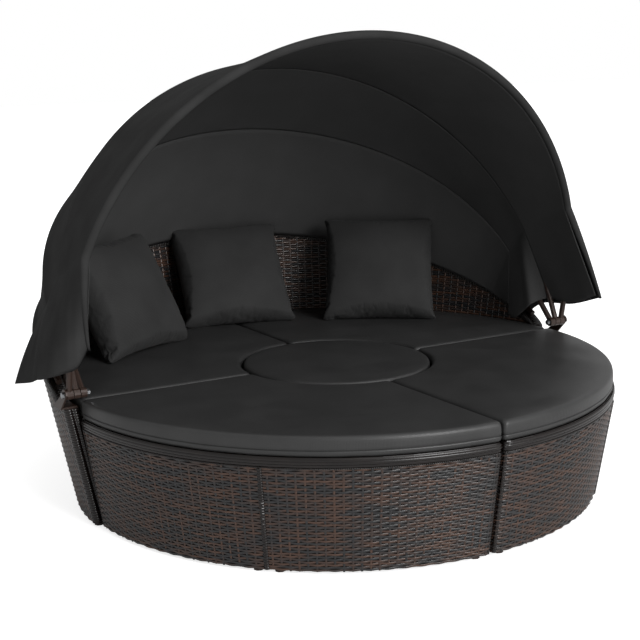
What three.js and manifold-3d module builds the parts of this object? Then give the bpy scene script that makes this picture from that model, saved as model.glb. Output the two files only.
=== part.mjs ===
// Outdoor round wicker daybed with a folding canopy, in millimetres, +Z up.
// The bed's round centre stands over the origin while it is drawn, the sitter looks along -Y,
// and the last lines move everything so that the origin is under the middle of the whole object.
import * as THREE from 'three';
import { mergeVertices } from 'three/addons/utils/BufferGeometryUtils.js';
import Module from 'manifold-3d';

const wasm = await Module();
wasm.setup();

// Seat and base
const baseRimRadius = 834;
const baseTaper = 51;
const baseFloorRadius = baseRimRadius - baseTaper;
const cushionSetIn = 4;
const cushionRadius = baseRimRadius - cushionSetIn;
const cushionThickness = 56;
const cushionCrown = 5;
const cushionEdge = 13;
const cushionGap = 6;
const centreCushionGap = 12;
const cushionWallGap = 3;
const baseHeight = 331;
const centreRadius = 288;
const moduleGap = 11;
const centreGap = 20;
const skinThickness = 9;
const cornerRadius = 14;
const rimBandHeight = 28;
const rimBandProud = 3;
const panelSeam = 10;
const deckThickness = 8;
const deckDrop = 2;
const glideHeight = 9;
const glideRadius = 14;
const frameTube = 20;
const seamPostSpacing = 60;
const seamDepth = 27;

// Backrest
const backrestSetIn = 23;
const backrestFloorRadius = baseFloorRadius - backrestSetIn;
const backrestLeanShare = 0.2;
const backrestThickness = 37;
const backrestSkin = 6;
const armRise = 27;
const armHeight = baseHeight + armRise;
const backRise = 319;
const backHeight = baseHeight + backRise;
const climbShare = 0.8;
const topRailHeight = 22;
const topRailProud = 2;
const armTrimDepth = 13;
const backrestTubeGap = 1;
const backrestTubeDrop = 26;

// Canopy
const pivotForward = 15;
const pivotRise = 50;
const pivotHeight = armHeight + pivotRise;
const hoopTube = 18;
const hoopOutset = 34.4;
const frontHoopHalfWidth = backrestInner(armHeight) + hoopOutset;
const hoopPitch = 20;
const hoopEyeRadius = 14;
const boltRadius = 5;
const boltHeadRadius = 9;
const boltHeadHeight = 6.5;
const nutHeight = 8;
const nutStandOff = 1;
const bracketSheet = 5;
const bracketLength = 56;
const bracketHoleRadius = 3;
const bracketHoleSetIn = 9;
const clipWidth = 16;
const clipSheet = 1.5;
const rearTubeGap = 3;
const clothThickness = 1.2;
const clothStandOff = 3.4;
const clothSeam = 0.8;
const clothSkirtOpening = 4;
const skirtFold = 15;
const hemDrop = 30;
const hemClear = 14;

// Each hoop open, from its pivot: how far it leans back, its height, and its straight lower stretch.
const hoopSizes = {
  front: { leanDegrees: -10.4, rise: 959, leg: 140 },
  second: { leanDegrees: 24, rise: 931, leg: 125 },
  third: { leanDegrees: 45, rise: 912, leg: 260 },
};

// Where the cloth leaves each hoop, measured along it from its foot, and where the skirt's hem hangs:
// out from the front hoop's foot, back from the bed's middle, and up from the pivot.
const skirts = {
  front: { flare: 357, kneeOut: 14, hemOut: 8, hemBack: -202, hemRise: 127 },
  second: { flare: 330, kneeOut: 30, hemOut: 49, hemBack: 30, hemRise: 44 },
  third: { flare: 300, kneeOut: 20, hemOut: 59, hemBack: 225, hemRise: -20 },
};
const skirtKneeShare = 0.45;
const rearClothStartDegrees = 16;
const rearSkirtTurnDegrees = 3;
const rearTubeInsetDegrees = 2;
const shoulderShare = 0.8;

// Pillows
const pillowSize = 366;
const pillowThickness = 130;
const pillowDrawShare = 0.075;
const pillowFullShare = 0.42;
const rightPillowSetIn = 144.2;
const middlePillowSetIn = 110.2;
const leftPillowSetIn = 150.2;
const pillowPlaces = [
  { name: 'right', setIn: rightPillowSetIn, aroundDegrees: 46, faceDegrees: 57, leanDegrees: 36 },
  { name: 'middle', setIn: middlePillowSetIn, aroundDegrees: 89, faceDegrees: 77, leanDegrees: 40 },
  { name: 'left', setIn: leftPillowSetIn, aroundDegrees: 134, faceDegrees: 118, leanDegrees: 29 },
];

// How finely round shapes are divided
const quarterOuterSteps = 16;
const quarterInnerSteps = 7;
const sideSteps = 2;
const ringSteps = 32;
const tubeSides = 8;
const frameTubeSides = 6;
const boltSides = 12;
const hexagonSides = 6;
const arcSegments = 8;
const backrestSteps = 42;
const backrestTubeSteps = 32;
const hoopSteps = 34;
const rearTubeSteps = 36;
const clipSteps = [4, 11, 18, 25, 32];
const pillowCells = 8;
const skirtSteps = 5;
const archSteps = 26;
const slopeRows = 4;

// Small clearances
const seatGap = 0.3;
const runningGap = 0.4;
const frameGap = 1;
const cutOverrun = 2;

const degrees = THREE.MathUtils.degToRad;
const halfTurn = Math.PI;
const quarterTurn = Math.PI / 2;
const upward = new THREE.Vector3(0, 0, 1);

// Materials
function finish(color, roughness, metalness = 0) {
  return new THREE.MeshStandardMaterial({ color, roughness, metalness });
}
const wicker = finish('#4b3a33', 0.5);
const wrappedWicker = finish('#33261f', 0.4);
const steel = finish('#2c211c', 0.45, 0.6);
const zinc = finish('#9a9c9e', 0.35, 1);
const deckWeave = finish('#2b2422', 0.7);
const seatCloth = finish('#343434', 0.75);
const pillowCloth = finish('#383838', 0.85);
const canopyCloth = finish('#262626', 0.8);

// Geometry helpers

// Skins a row of point rings, all with the same number of points. An open row is capped at both ends,
// a closed row returns to its first ring. The faces are turned outward by the sign of the volume.
function loft(rings, closedRow = false) {
  const count = rings[0].length;
  const points = rings.flat();
  const faces = [];
  const last = closedRow ? rings.length : rings.length - 1;
  for (let ring = 0; ring < last; ring += 1) {
    const here = ring * count;
    const next = ((ring + 1) % rings.length) * count;
    for (let step = 0; step < count; step += 1) {
      const beside = (step + 1) % count;
      faces.push([here + step, here + beside, next + beside], [here + step, next + beside, next + step]);
    }
  }
  if (!closedRow) {
    const lastRing = rings.length - 1;
    const start = lastRing * count;
    capFaces(rings[0]).forEach(([a, b, c]) => faces.push([a, c, b]));
    capFaces(rings[lastRing]).forEach(([a, b, c]) => faces.push([start + a, start + b, start + c]));
  }
  return faceted(points, faces);
}

// Triangles across one flat ring, seen from the side that its points run counter-clockwise on.
function capFaces(ring) {
  const normal = new THREE.Vector3();
  ring.forEach((point, step) => {
    const beside = ring[(step + 1) % ring.length];
    normal.add(new THREE.Vector3().crossVectors(point, beside));
  });
  normal.normalize();
  const across = ring[1].clone().sub(ring[0]).normalize();
  const along = new THREE.Vector3().crossVectors(normal, across);
  const flat = ring.map((point) => new THREE.Vector2(point.dot(across), point.dot(along)));
  return THREE.ShapeUtils.triangulateShape(flat, []);
}

function faceted(points, faces) {
  let volume = 0;
  const cross = new THREE.Vector3();
  faces.forEach(([a, b, c]) => {
    volume += cross.crossVectors(points[a], points[b]).dot(points[c]);
  });
  const order = volume < 0 ? faces.map(([a, b, c]) => [a, c, b]) : faces;
  const geometry = new THREE.BufferGeometry();
  const coordinates = points.flatMap((point) => [point.x, point.y, point.z]);
  geometry.setAttribute('position', new THREE.Float32BufferAttribute(coordinates, 3));
  geometry.setIndex(order.flat());
  return geometry;
}

function toManifold(geometry) {
  const bare = geometry.clone();
  bare.deleteAttribute('normal');
  bare.deleteAttribute('uv');
  const welded = mergeVertices(bare);
  const vertProperties = new Float32Array(welded.attributes.position.array);
  const triVerts = new Uint32Array(welded.index.array);
  return new wasm.Manifold(new wasm.Mesh({ numProp: 3, vertProperties, triVerts }));
}

function fromManifold(solid) {
  const mesh = solid.getMesh();
  const geometry = new THREE.BufferGeometry();
  geometry.setAttribute('position', new THREE.BufferAttribute(new Float32Array(mesh.vertProperties), 3));
  geometry.setIndex(new THREE.BufferAttribute(new Uint32Array(mesh.triVerts), 1));
  return geometry;
}

function joined(geometries, cuts = []) {
  let solid = toManifold(geometries[0]);
  geometries.slice(1).forEach((geometry) => {
    solid = solid.add(toManifold(geometry));
  });
  cuts.forEach((geometry) => {
    solid = solid.subtract(toManifold(geometry));
  });
  return fromManifold(solid);
}

function box(low, high) {
  const size = high.clone().sub(low);
  const middle = high.clone().add(low).multiplyScalar(0.5);
  return new THREE.BoxGeometry(size.x, size.y, size.z).translate(middle.x, middle.y, middle.z);
}

function rodAlongX(radius, fromX, toX, sides) {
  const length = toX - fromX;
  return new THREE.CylinderGeometry(radius, radius, length, sides).rotateZ(quarterTurn)
    .translate(fromX + length / 2, 0, 0);
}

function uprightRod(radius, bottom, top, x, y, sides) {
  const height = top - bottom;
  return new THREE.CylinderGeometry(radius, radius, height, sides).rotateX(quarterTurn)
    .translate(x, y, bottom + height / 2);
}

function tubeAlong(curve, radius, sides, steps) {
  const section = new THREE.Shape();
  section.absarc(0, 0, radius, 0, 2 * Math.PI);
  return new THREE.ExtrudeGeometry(section, {
    steps, curveSegments: sides / 2, bevelEnabled: false, extrudePath: curve,
  });
}

function polar(radius, angle, z) {
  return new THREE.Vector3(radius * Math.cos(angle), radius * Math.sin(angle), z);
}

// Plan outlines

const cornerTipShare = 2 / 3;
const cornerAfterShare = 1 / 4;

// A ring sector from angle zero to `turn`, kept `side` away from both end planes, with eased corners.
// `pull` draws the straight sides in between their corners.
function sectorOutline({ inner, outer, turn, side, corner, pull = 0 }) {
  const arcSteps = Math.round(quarterOuterSteps * turn / quarterTurn);
  const innerSteps = Math.round(quarterInnerSteps * turn / quarterTurn);
  const at = (radius, angle) => new THREE.Vector2(radius * Math.cos(angle), radius * Math.sin(angle));
  const edge = (radius) => Math.asin(side / radius);
  const points = [];
  const ease = (before, tip, after) => {
    points.push(before, before.clone().lerp(tip, cornerTipShare).lerp(after, cornerAfterShare), after);
  };
  const straight = (from, to) => {
    const inward = to.clone().sub(from).normalize();
    inward.set(-inward.y, inward.x);
    for (let step = 1; step < sideSteps; step += 1) {
      const share = step / sideSteps;
      const bow = pull * Math.sin(halfTurn * share);
      points.push(from.clone().lerp(to, share).addScaledVector(inward, bow));
    }
  };
  const arc = (radius, from, to, steps) => {
    for (let step = 1; step < steps; step += 1) {
      points.push(at(radius, from + (to - from) * step / steps));
    }
  };
  const startIn = at(inner, edge(inner));
  const startOut = at(outer, edge(outer));
  const endOut = at(outer, turn - edge(outer));
  const endIn = at(inner, turn - edge(inner));
  const toward = (from, to) => from.clone().add(to.clone().sub(from).setLength(corner));
  const outFrom = edge(outer) + corner / outer;
  const outTo = turn - outFrom;
  const inFrom = edge(inner) + corner / inner;
  const inTo = turn - inFrom;
  ease(at(inner, inFrom), startIn, toward(startIn, startOut));
  straight(toward(startIn, startOut), toward(startOut, startIn));
  ease(toward(startOut, startIn), startOut, at(outer, outFrom));
  arc(outer, outFrom, outTo, arcSteps);
  ease(at(outer, outTo), endOut, toward(endOut, endIn));
  straight(toward(endOut, endIn), toward(endIn, endOut));
  ease(toward(endIn, endOut), endIn, at(inner, inTo));
  arc(inner, inTo, inFrom, innerSteps);
  return points;
}

function roundOutline(radius, steps) {
  const points = [];
  for (let step = 0; step < steps; step += 1) {
    const angle = 2 * Math.PI * step / steps;
    points.push(new THREE.Vector2(radius * Math.cos(angle), radius * Math.sin(angle)));
  }
  return points;
}

function raise(outline, z) {
  return outline.map((point) => new THREE.Vector3(point.x, point.y, z));
}

// A box module: its plan outline at a height and an inset from the outer faces.
const taperShare = (baseRimRadius - baseFloorRadius) / (baseHeight - glideHeight);
const wellRadius = centreRadius + centreGap / 2;
const drumRadius = centreRadius - centreGap / 2;

function ottomanPlan(z, inset) {
  return sectorOutline({
    inner: wellRadius + inset,
    outer: baseFloorRadius + taperShare * (z - glideHeight) - inset,
    turn: quarterTurn,
    side: moduleGap / 2 + inset,
    corner: cornerRadius,
  });
}

function sofaPlan(z, inset) {
  return sectorOutline({
    inner: wellRadius + inset,
    outer: backrestFloorRadius + backrestLeanShare * z - frameGap - Math.max(inset, 0),
    turn: halfTurn,
    side: moduleGap / 2 + inset,
    corner: cornerRadius,
  });
}

function centrePlan(z, inset) {
  return roundOutline(drumRadius - inset, ringSteps);
}

const bandBottom = baseHeight - rimBandHeight;
const skinTop = bandBottom - seatGap;
const deckTop = baseHeight - deckDrop;
const deckBottom = deckTop - deckThickness;
const railTop = deckBottom - seatGap;
const railBottom = railTop - frameTube;

function wovenSkin(plan, seams = []) {
  const shell = loft([
    raise(plan(glideHeight, 0), glideHeight),
    raise(plan(skinTop, 0), skinTop),
    raise(plan(skinTop, skinThickness), skinTop),
    raise(plan(glideHeight, skinThickness), glideHeight),
  ], true);
  return seams.length > 0 ? joined([shell], seams) : shell;
}

const bandEaseShare = 1 / 3;

// The wrapped band that caps the skin: rolled proud of it outside, and lapping the deck's edge inside.
function rimBand(plan) {
  const levels = [
    [bandBottom, 0],
    [bandBottom + rimBandHeight / 2, -rimBandProud],
    [baseHeight, skinThickness * bandEaseShare],
    [baseHeight, skinThickness],
    [bandBottom, skinThickness],
  ];
  return loft(levels.map(([z, inset]) => raise(plan(z, inset), z)), true);
}

function deck(plan) {
  const inset = skinThickness + frameGap;
  return loft([
    raise(plan(deckBottom, inset), deckBottom),
    raise(plan(deckTop, inset), deckTop),
  ]);
}

// Square tube frame: a top rail under the deck's edge, on slanting legs with plugged floor glides.
function seatFrame(plan, posts) {
  const outside = skinThickness + frameGap;
  const rail = loft([
    raise(plan(railBottom, outside), railBottom),
    raise(plan(railBottom, outside), railTop),
    raise(plan(railBottom, outside + frameTube), railTop),
    raise(plan(railBottom, outside + frameTube), railBottom),
  ], true);
  const legFoot = glideHeight - seatGap * 2;
  const legs = posts.map(({ angle, low, high }) => loft([
    legSection(angle, low, legFoot),
    legSection(angle, high, (railBottom + railTop) / 2),
  ]));
  const glides = posts.map(({ angle, low }) => {
    const foot = polar(low, angle, 0);
    return uprightRod(glideRadius, 0, glideHeight - seatGap, foot.x, foot.y, tubeSides);
  });
  return joined([rail, ...legs, ...glides]);
}

function legSection(angle, radius, z) {
  const half = frameTube / 2;
  const middle = polar(radius, angle, z);
  const corners = [[-half, -half], [half, -half], [half, half], [-half, half]];
  return corners.map(([x, y]) => new THREE.Vector3(x, y, 0).applyAxisAngle(upward, angle).add(middle));
}

const legInset = skinThickness + frameGap + frameTube / 2;

// Legs stand behind both end faces, and at the given shares of the outer curve between them.
function legPosts(plan, turn, between) {
  const reach = (z) => Math.max(...plan(z, 0).map((point) => point.length())) - legInset;
  const low = reach(glideHeight);
  const high = reach(railBottom);
  const inner = wellRadius + legInset;
  const sideAngle = (radius) => Math.asin((moduleGap / 2 + legInset + cornerRadius) / radius);
  const ends = [sideAngle(low), turn - sideAngle(low)].map((angle) => ({ angle, low, high }));
  const middles = between.map((share) => ({ angle: turn * share, low, high }));
  const inners = [sideAngle(inner), turn - sideAngle(inner)].map((angle) => (
    { angle, low: inner, high: inner }
  ));
  return [...ends, ...middles, ...inners];
}

function centrePosts() {
  const radius = drumRadius - legInset;
  return [0, 1, 2, 3].map((step) => ({ angle: quarterTurn * (step + 1 / 2), low: radius, high: radius }));
}

// Cushions: drawn-in sides, a rounded edge above and below, and a shallow crown. Each level of the side is
// a share of the thickness up, and a share of the edge's rounding in.
const cushionLevelShares = [
  { up: 0, in: 0.5 },
  { up: 0.48, in: 0 },
  { up: 0.77, in: 0.17 },
  { up: 0.94, in: 0.67 },
  { up: 1, in: 2 },
];
const crownInsetShare = 0.25;
const cornerGrowthShare = 0.25;
const sidePullShare = 0.33;

function cushion(outlineAt) {
  const bottom = baseHeight + seatGap;
  const thickness = cushionThickness - seatGap;
  const rings = cushionLevelShares.map((level) => (
    raise(outlineAt(cushionEdge * level.in), bottom + thickness * level.up)
  ));
  const crownInset = (cushionRadius - centreRadius) * crownInsetShare;
  rings.push(raise(outlineAt(crownInset), bottom + thickness + cushionCrown));
  return loft(rings);
}

function quarterCushion(outerRadius) {
  return cushion((inset) => sectorOutline({
    inner: centreRadius + centreCushionGap / 2 + inset,
    outer: outerRadius - inset,
    turn: quarterTurn,
    side: cushionGap / 2 + inset,
    corner: cushionEdge + inset * cornerGrowthShare,
    pull: cushionGap * sidePullShare,
  }));
}

function roundCushion() {
  return cushion((inset) => roundOutline(centreRadius - centreCushionGap / 2 - inset, ringSteps));
}

// A square pillow: two crowned faces on one outline whose sides draw in between the corners.
function pillow() {
  const cells = pillowCells;
  const half = pillowSize / 2;
  const points = [];
  const place = (column, row) => {
    const u = 2 * column / cells - 1;
    const v = 2 * row / cells - 1;
    const x = half * u * (1 - pillowDrawShare * (1 - v * v) * u * u);
    const z = half * v * (1 - pillowDrawShare * (1 - u * u) * v * v);
    const puff = Math.max(0, (1 - u * u) * (1 - v * v)) ** pillowFullShare;
    return [x, z, pillowThickness / 2 * puff];
  };
  const rows = cells + 1;
  const frontAt = (column, row) => row * rows + column;
  const back = new Map();
  for (let row = 0; row < rows; row += 1) {
    for (let column = 0; column < rows; column += 1) {
      const [x, z, depth] = place(column, row);
      points.push(new THREE.Vector3(x, -depth, z));
    }
  }
  for (let row = 0; row < rows; row += 1) {
    for (let column = 0; column < rows; column += 1) {
      const rim = row === 0 || column === 0 || row === cells || column === cells;
      const [x, z, depth] = place(column, row);
      if (rim) {
        back.set(frontAt(column, row), frontAt(column, row));
      } else {
        back.set(frontAt(column, row), points.length);
        points.push(new THREE.Vector3(x, depth, z));
      }
    }
  }
  const faces = [];
  for (let row = 0; row < cells; row += 1) {
    for (let column = 0; column < cells; column += 1) {
      const corners = [frontAt(column, row), frontAt(column + 1, row),
        frontAt(column + 1, row + 1), frontAt(column, row + 1)];
      const [a, b, c, d] = corners;
      const [e, f, g, h] = corners.map((corner) => back.get(corner));
      const corner = (column < cells / 2) === (row < cells / 2);
      if (corner) {
        faces.push([a, b, c], [a, c, d], [e, g, f], [e, h, g]);
      } else {
        faces.push([a, b, d], [b, c, d], [e, h, f], [f, h, g]);
      }
    }
  }
  return faceted(points, faces);
}

// Backrest

function backrestInner(z) {
  return backrestFloorRadius + backrestLeanShare * z;
}

// The bracket's seat on each arm is level, and from there the top climbs toward the back.
const armEndAngle = Math.asin((moduleGap / 2 + armTrimDepth) / backrestFloorRadius);
const bracketEnd = moduleGap / 2 + armTrimDepth + bracketLength + 2 * frameGap;
const topRailStart = Math.asin(bracketEnd / backrestInner(armHeight));

function backrestTop(angle) {
  const level = Math.sin(topRailStart);
  const climb = Math.max(0, Math.sin(angle) - level) / (1 - level);
  return armHeight + (backHeight - armHeight) * climb ** climbShare;
}

// The angles around the backrest that its skins and its top rail share.
function backrestStations() {
  const angles = [armEndAngle];
  for (let step = 0; step <= backrestSteps; step += 1) {
    angles.push(topRailStart + (halfTurn - 2 * topRailStart) * step / backrestSteps);
  }
  angles.push(halfTurn - armEndAngle);
  return angles;
}

function backrestSkinSolid(offset) {
  return loft(backrestStations().map((angle) => {
    const top = backrestTop(angle);
    return [
      polar(backrestInner(glideHeight) + offset, angle, glideHeight),
      polar(backrestInner(glideHeight) + offset + backrestSkin, angle, glideHeight),
      polar(backrestInner(top) + offset + backrestSkin, angle, top),
      polar(backrestInner(top) + offset, angle, top),
    ];
  }));
}

// Curve of a tube that follows the backrest between its skins or along its top.
class BackrestCurve extends THREE.Curve {
  constructor(from, heightAt) {
    super();
    this.from = from;
    this.heightAt = heightAt;
  }

  getPoint(share) {
    const angle = this.from + (halfTurn - 2 * this.from) * share;
    const z = this.heightAt(angle);
    return polar(backrestInner(Math.min(z, backrestTop(angle))) + backrestThickness / 2, angle, z);
  }
}

function leaningPost(angle, radius, bottom, top) {
  const low = polar(backrestInner(bottom) + backrestThickness / 2, angle, bottom);
  const high = polar(backrestInner(top) + backrestThickness / 2, angle, top);
  const along = high.clone().sub(low);
  const post = new THREE.CylinderGeometry(radius, radius, along.length(), frameTubeSides);
  const drawnAlong = new THREE.Vector3(0, 1, 0);
  post.applyQuaternion(new THREE.Quaternion().setFromUnitVectors(drawnAlong, along.normalize()));
  const middle = low.clone().add(high).multiplyScalar(0.5);
  return post.translate(middle.x, middle.y, middle.z);
}

const backrestFrameInset = armEndAngle * 2;
const backrestPostCount = 5;
const backrestPostAngles = [];
for (let post = 0; post < backrestPostCount; post += 1) {
  const share = post / (backrestPostCount - 1);
  backrestPostAngles.push(backrestFrameInset + (halfTurn - backrestFrameInset * 2) * share);
}
const leanCosine = Math.cos(Math.atan(backrestLeanShare));
const backrestTubeRadius = (backrestThickness / 2 - backrestSkin) * leanCosine - backrestTubeGap;
const backrestRail = backrestTubeRadius + backrestTubeDrop;

function backrestFrame() {
  const radius = backrestTubeRadius;
  const upperCurve = new BackrestCurve(backrestFrameInset, (angle) => backrestTop(angle) - backrestRail);
  const lowerCurve = new BackrestCurve(backrestFrameInset, () => glideHeight + backrestRail);
  const upper = tubeAlong(upperCurve, radius, frameTubeSides, backrestTubeSteps);
  const lower = tubeAlong(lowerCurve, radius, frameTubeSides, backrestTubeSteps);
  const posts = backrestPostAngles.map((angle) => (
    leaningPost(angle, radius, glideHeight - seatGap * 2, backrestTop(angle) - backrestRail)
  ));
  const glides = backrestPostAngles.map((angle) => {
    const foot = polar(backrestInner(glideHeight) + backrestThickness / 2, angle, 0);
    return uprightRod(glideRadius, 0, glideHeight - seatGap, foot.x, foot.y, tubeSides);
  });
  return joined([upper, lower, ...posts, ...glides]);
}

// Wrapped rail over both skins, from the bracket on one arm to the bracket on the other. Its section is
// given in shares of half its width and of its height.
const topRailSectionShares = [[-1, 0], [1, 0], [1, 0.5], [0.67, 1], [-0.67, 1], [-1, 0.5]];

function backrestTopRail() {
  return loft(backrestStations().slice(1, -1).map((angle) => {
    const z = backrestTop(angle) + seatGap;
    const middle = backrestInner(z) + backrestThickness / 2;
    const half = backrestThickness / 2 + topRailProud;
    return topRailSectionShares.map(([across, up]) => (
      polar(middle + half * across, angle, z + topRailHeight * up)
    ));
  }));
}

// Wrapped arm end: two ridges with a groove between, leaning with the backrest and rounded under at the
// floor. Its levels are shares of the rounding's height, of its reach and of its depth.
const armTrimLevelShares = [
  { up: 0, reach: 0.9, depth: 0.5 },
  { up: 0.33, reach: 0.97, depth: 0.83 },
  { up: 1, reach: 1, depth: 1 },
];
const armTrimSectionShares = [[-1, 0], [-0.83, 0.67], [-0.5, 1], [0, 0.75], [0.5, 1], [0.83, 0.67], [1, 0]];

function armTrim() {
  const rounding = backrestThickness / 2;
  const sectionAt = (z, reachShare, depthShare) => {
    const middle = backrestInner(z) + backrestThickness / 2;
    const inward = rounding * reachShare;
    const outward = (rounding + topRailProud) * reachShare;
    return armTrimSectionShares.map(([across, out]) => new THREE.Vector3(
      middle + across * (across < 0 ? inward : outward), -armTrimDepth * depthShare * out, z,
    ));
  };
  const rings = armTrimLevelShares.map((level) => (
    sectionAt(glideHeight + rounding * level.up, level.reach, level.depth)
  ));
  rings.push(sectionAt(armHeight, 1, 1));
  return loft(rings).translate(0, -seatGap, 0).rotateZ(armEndAngle);
}

// Canopy

const pivot = new THREE.Vector3(0, -pivotForward, pivotHeight);

// A hoop before it leans: a straight leg up from each pivot, and half an ellipse between the legs.
class HoopCurve extends THREE.Curve {
  constructor({ halfWidth, rise, leg }) {
    super();
    this.halfWidth = halfWidth;
    this.leg = leg;
    this.arch = rise - leg;
    this.legShare = leg / (2 * leg + halfTurn * (halfWidth + this.arch) / 2);
  }

  getPoint(share) {
    if (share < this.legShare) {
      return new THREE.Vector3(this.halfWidth, 0, this.leg * share / this.legShare);
    }
    if (share > 1 - this.legShare) {
      return new THREE.Vector3(-this.halfWidth, 0, this.leg * (1 - share) / this.legShare);
    }
    const angle = halfTurn * (share - this.legShare) / (1 - 2 * this.legShare);
    return new THREE.Vector3(this.halfWidth * Math.cos(angle), 0, this.leg + this.arch * Math.sin(angle));
  }
}

// The hoops stand side by side on the pivot bolts, the front one outermost.
const hoops = {};
Object.entries(hoopSizes).forEach(([name, { leanDegrees, rise, leg }], order) => {
  hoops[name] = { lean: degrees(leanDegrees), halfWidth: frontHoopHalfWidth - order * hoopPitch, rise, leg };
});

// A bent tube with an eye at each foot, bored for the pivot bolt.
function hoopSolid(hoop) {
  const radius = hoopTube / 2;
  const feet = [-hoop.halfWidth, hoop.halfWidth];
  const tube = tubeAlong(new HoopCurve(hoop), radius, tubeSides, hoopSteps);
  const eyes = feet.map((x) => rodAlongX(hoopEyeRadius, x - radius, x + radius, boltSides));
  const bores = feet.map((x) => (
    rodAlongX(boltRadius + runningGap, x - radius - cutOverrun, x + radius + cutOverrun, boltSides)
  ));
  return joined([tube, ...eyes], bores);
}

const earInner = frontHoopHalfWidth + hoopTube / 2 + nutStandOff;
const earOuter = earInner + bracketSheet;
const stackInner = frontHoopHalfWidth - 2 * hoopPitch - hoopTube / 2;
const nutOuter = stackInner - nutStandOff;
const nutInner = nutOuter - nutHeight;

// Pressed bracket on the arm's flat top: a foot with a screw hole, and an ear that reaches forward and up
// to the bored hole for the bolt.
function bracket() {
  const footFrom = moduleGap / 2 + armTrimDepth;
  const footTo = footFrom + bracketLength;
  const footBottom = armHeight + seatGap;
  const footTop = footBottom + bracketSheet;
  const footInner = backrestInner(armHeight);
  const foot = box(
    new THREE.Vector3(footInner, footFrom, footBottom),
    new THREE.Vector3(earOuter, footTo, footTop),
  );
  const crown = hoopEyeRadius + bracketSheet / 2;
  const outline = new THREE.Shape();
  outline.moveTo(footFrom, footBottom);
  outline.lineTo(footTo, footBottom);
  outline.lineTo(pivot.y + crown, pivot.z);
  outline.absarc(pivot.y, pivot.z, crown, 0, halfTurn, false);
  const ear = new THREE.ExtrudeGeometry(outline, {
    depth: bracketSheet, bevelEnabled: false, curveSegments: arcSegments,
  });
  ear.applyMatrix4(new THREE.Matrix4().makeBasis(
    new THREE.Vector3(0, 1, 0), new THREE.Vector3(0, 0, 1), new THREE.Vector3(1, 0, 0),
  )).translate(earInner, 0, 0);
  const bore = rodAlongX(boltRadius + runningGap, earInner - cutOverrun, earOuter + cutOverrun, boltSides)
    .translate(pivot.x, pivot.y, pivot.z);
  const holeX = (footInner + earInner) / 2;
  const holeY = footTo - bracketHoleSetIn;
  const holeFrom = footBottom - cutOverrun;
  const hole = uprightRod(bracketHoleRadius, holeFrom, footTop + cutOverrun, holeX, holeY, boltSides);
  return joined([foot, ear], [bore, hole]);
}

// Drawn about its own axis, to be placed at the pivot.
function pivotBolt() {
  const headFrom = earOuter + seatGap;
  const head = rodAlongX(boltHeadRadius, headFrom, headFrom + boltHeadHeight, hexagonSides);
  const shank = rodAlongX(boltRadius, nutInner - cutOverrun, headFrom + boltHeadHeight / 2, boltSides);
  return joined([head, shank]);
}

function pivotNut() {
  const body = rodAlongX(boltHeadRadius, nutInner, nutOuter, hexagonSides);
  const bore = rodAlongX(boltRadius + runningGap, nutInner - cutOverrun, nutOuter + cutOverrun, boltSides);
  return joined([body], [bore]);
}

// Fixed rear tube over the top rail, with saddle clips between the two.
const rearTubeLift = seatGap + topRailHeight + rearTubeGap + hoopTube / 2;
const rearTubeStart = topRailStart + degrees(rearTubeInsetDegrees);
const clipInside = hoopTube / 2 + runningGap * 2;

function rearTubeCurve() {
  return new BackrestCurve(rearTubeStart, (angle) => backrestTop(angle) + rearTubeLift);
}

function rearTube() {
  return tubeAlong(rearTubeCurve(), hoopTube / 2, tubeSides, rearTubeSteps);
}

// A saddle strap over the tube, square to it, screwed down on the rail's top.
function rearClip(step) {
  const curve = rearTubeCurve();
  const centre = curve.getPointAt(step / rearTubeSteps);
  const along = curve.getTangentAt(step / rearTubeSteps);
  const radial = new THREE.Vector3(centre.x, centre.y, 0).normalize();
  const across = radial.addScaledVector(along, -radial.dot(along)).normalize();
  const up = new THREE.Vector3().crossVectors(across, along);
  const outside = clipInside + clipSheet;
  const drop = (rearTubeLift - seatGap * 3 - topRailHeight) * up.z;
  const profile = new THREE.Shape();
  profile.moveTo(outside, -drop);
  profile.lineTo(outside, 0);
  profile.absarc(0, 0, outside, 0, halfTurn, false);
  profile.lineTo(-outside, -drop);
  profile.lineTo(-clipInside, -drop);
  profile.lineTo(-clipInside, 0);
  profile.absarc(0, 0, clipInside, halfTurn, 0, true);
  profile.lineTo(clipInside, -drop);
  const strap = new THREE.ExtrudeGeometry(profile, {
    depth: clipWidth, bevelEnabled: false, curveSegments: arcSegments / 2,
  });
  strap.translate(0, 0, -clipWidth / 2);
  const frame = new THREE.Matrix4().makeBasis(across, up, new THREE.Vector3().crossVectors(across, up));
  return strap.applyMatrix4(frame).translate(centre.x, centre.y, centre.z);
}

// Canopy cloth

const clothSteps = archSteps + 2 * skirtSteps;
const clothOffset = hoopTube / 2 + clothStandOff;

function mirrored(point, left) {
  return left ? new THREE.Vector3(-point.x, point.y, point.z) : point.clone();
}

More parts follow.
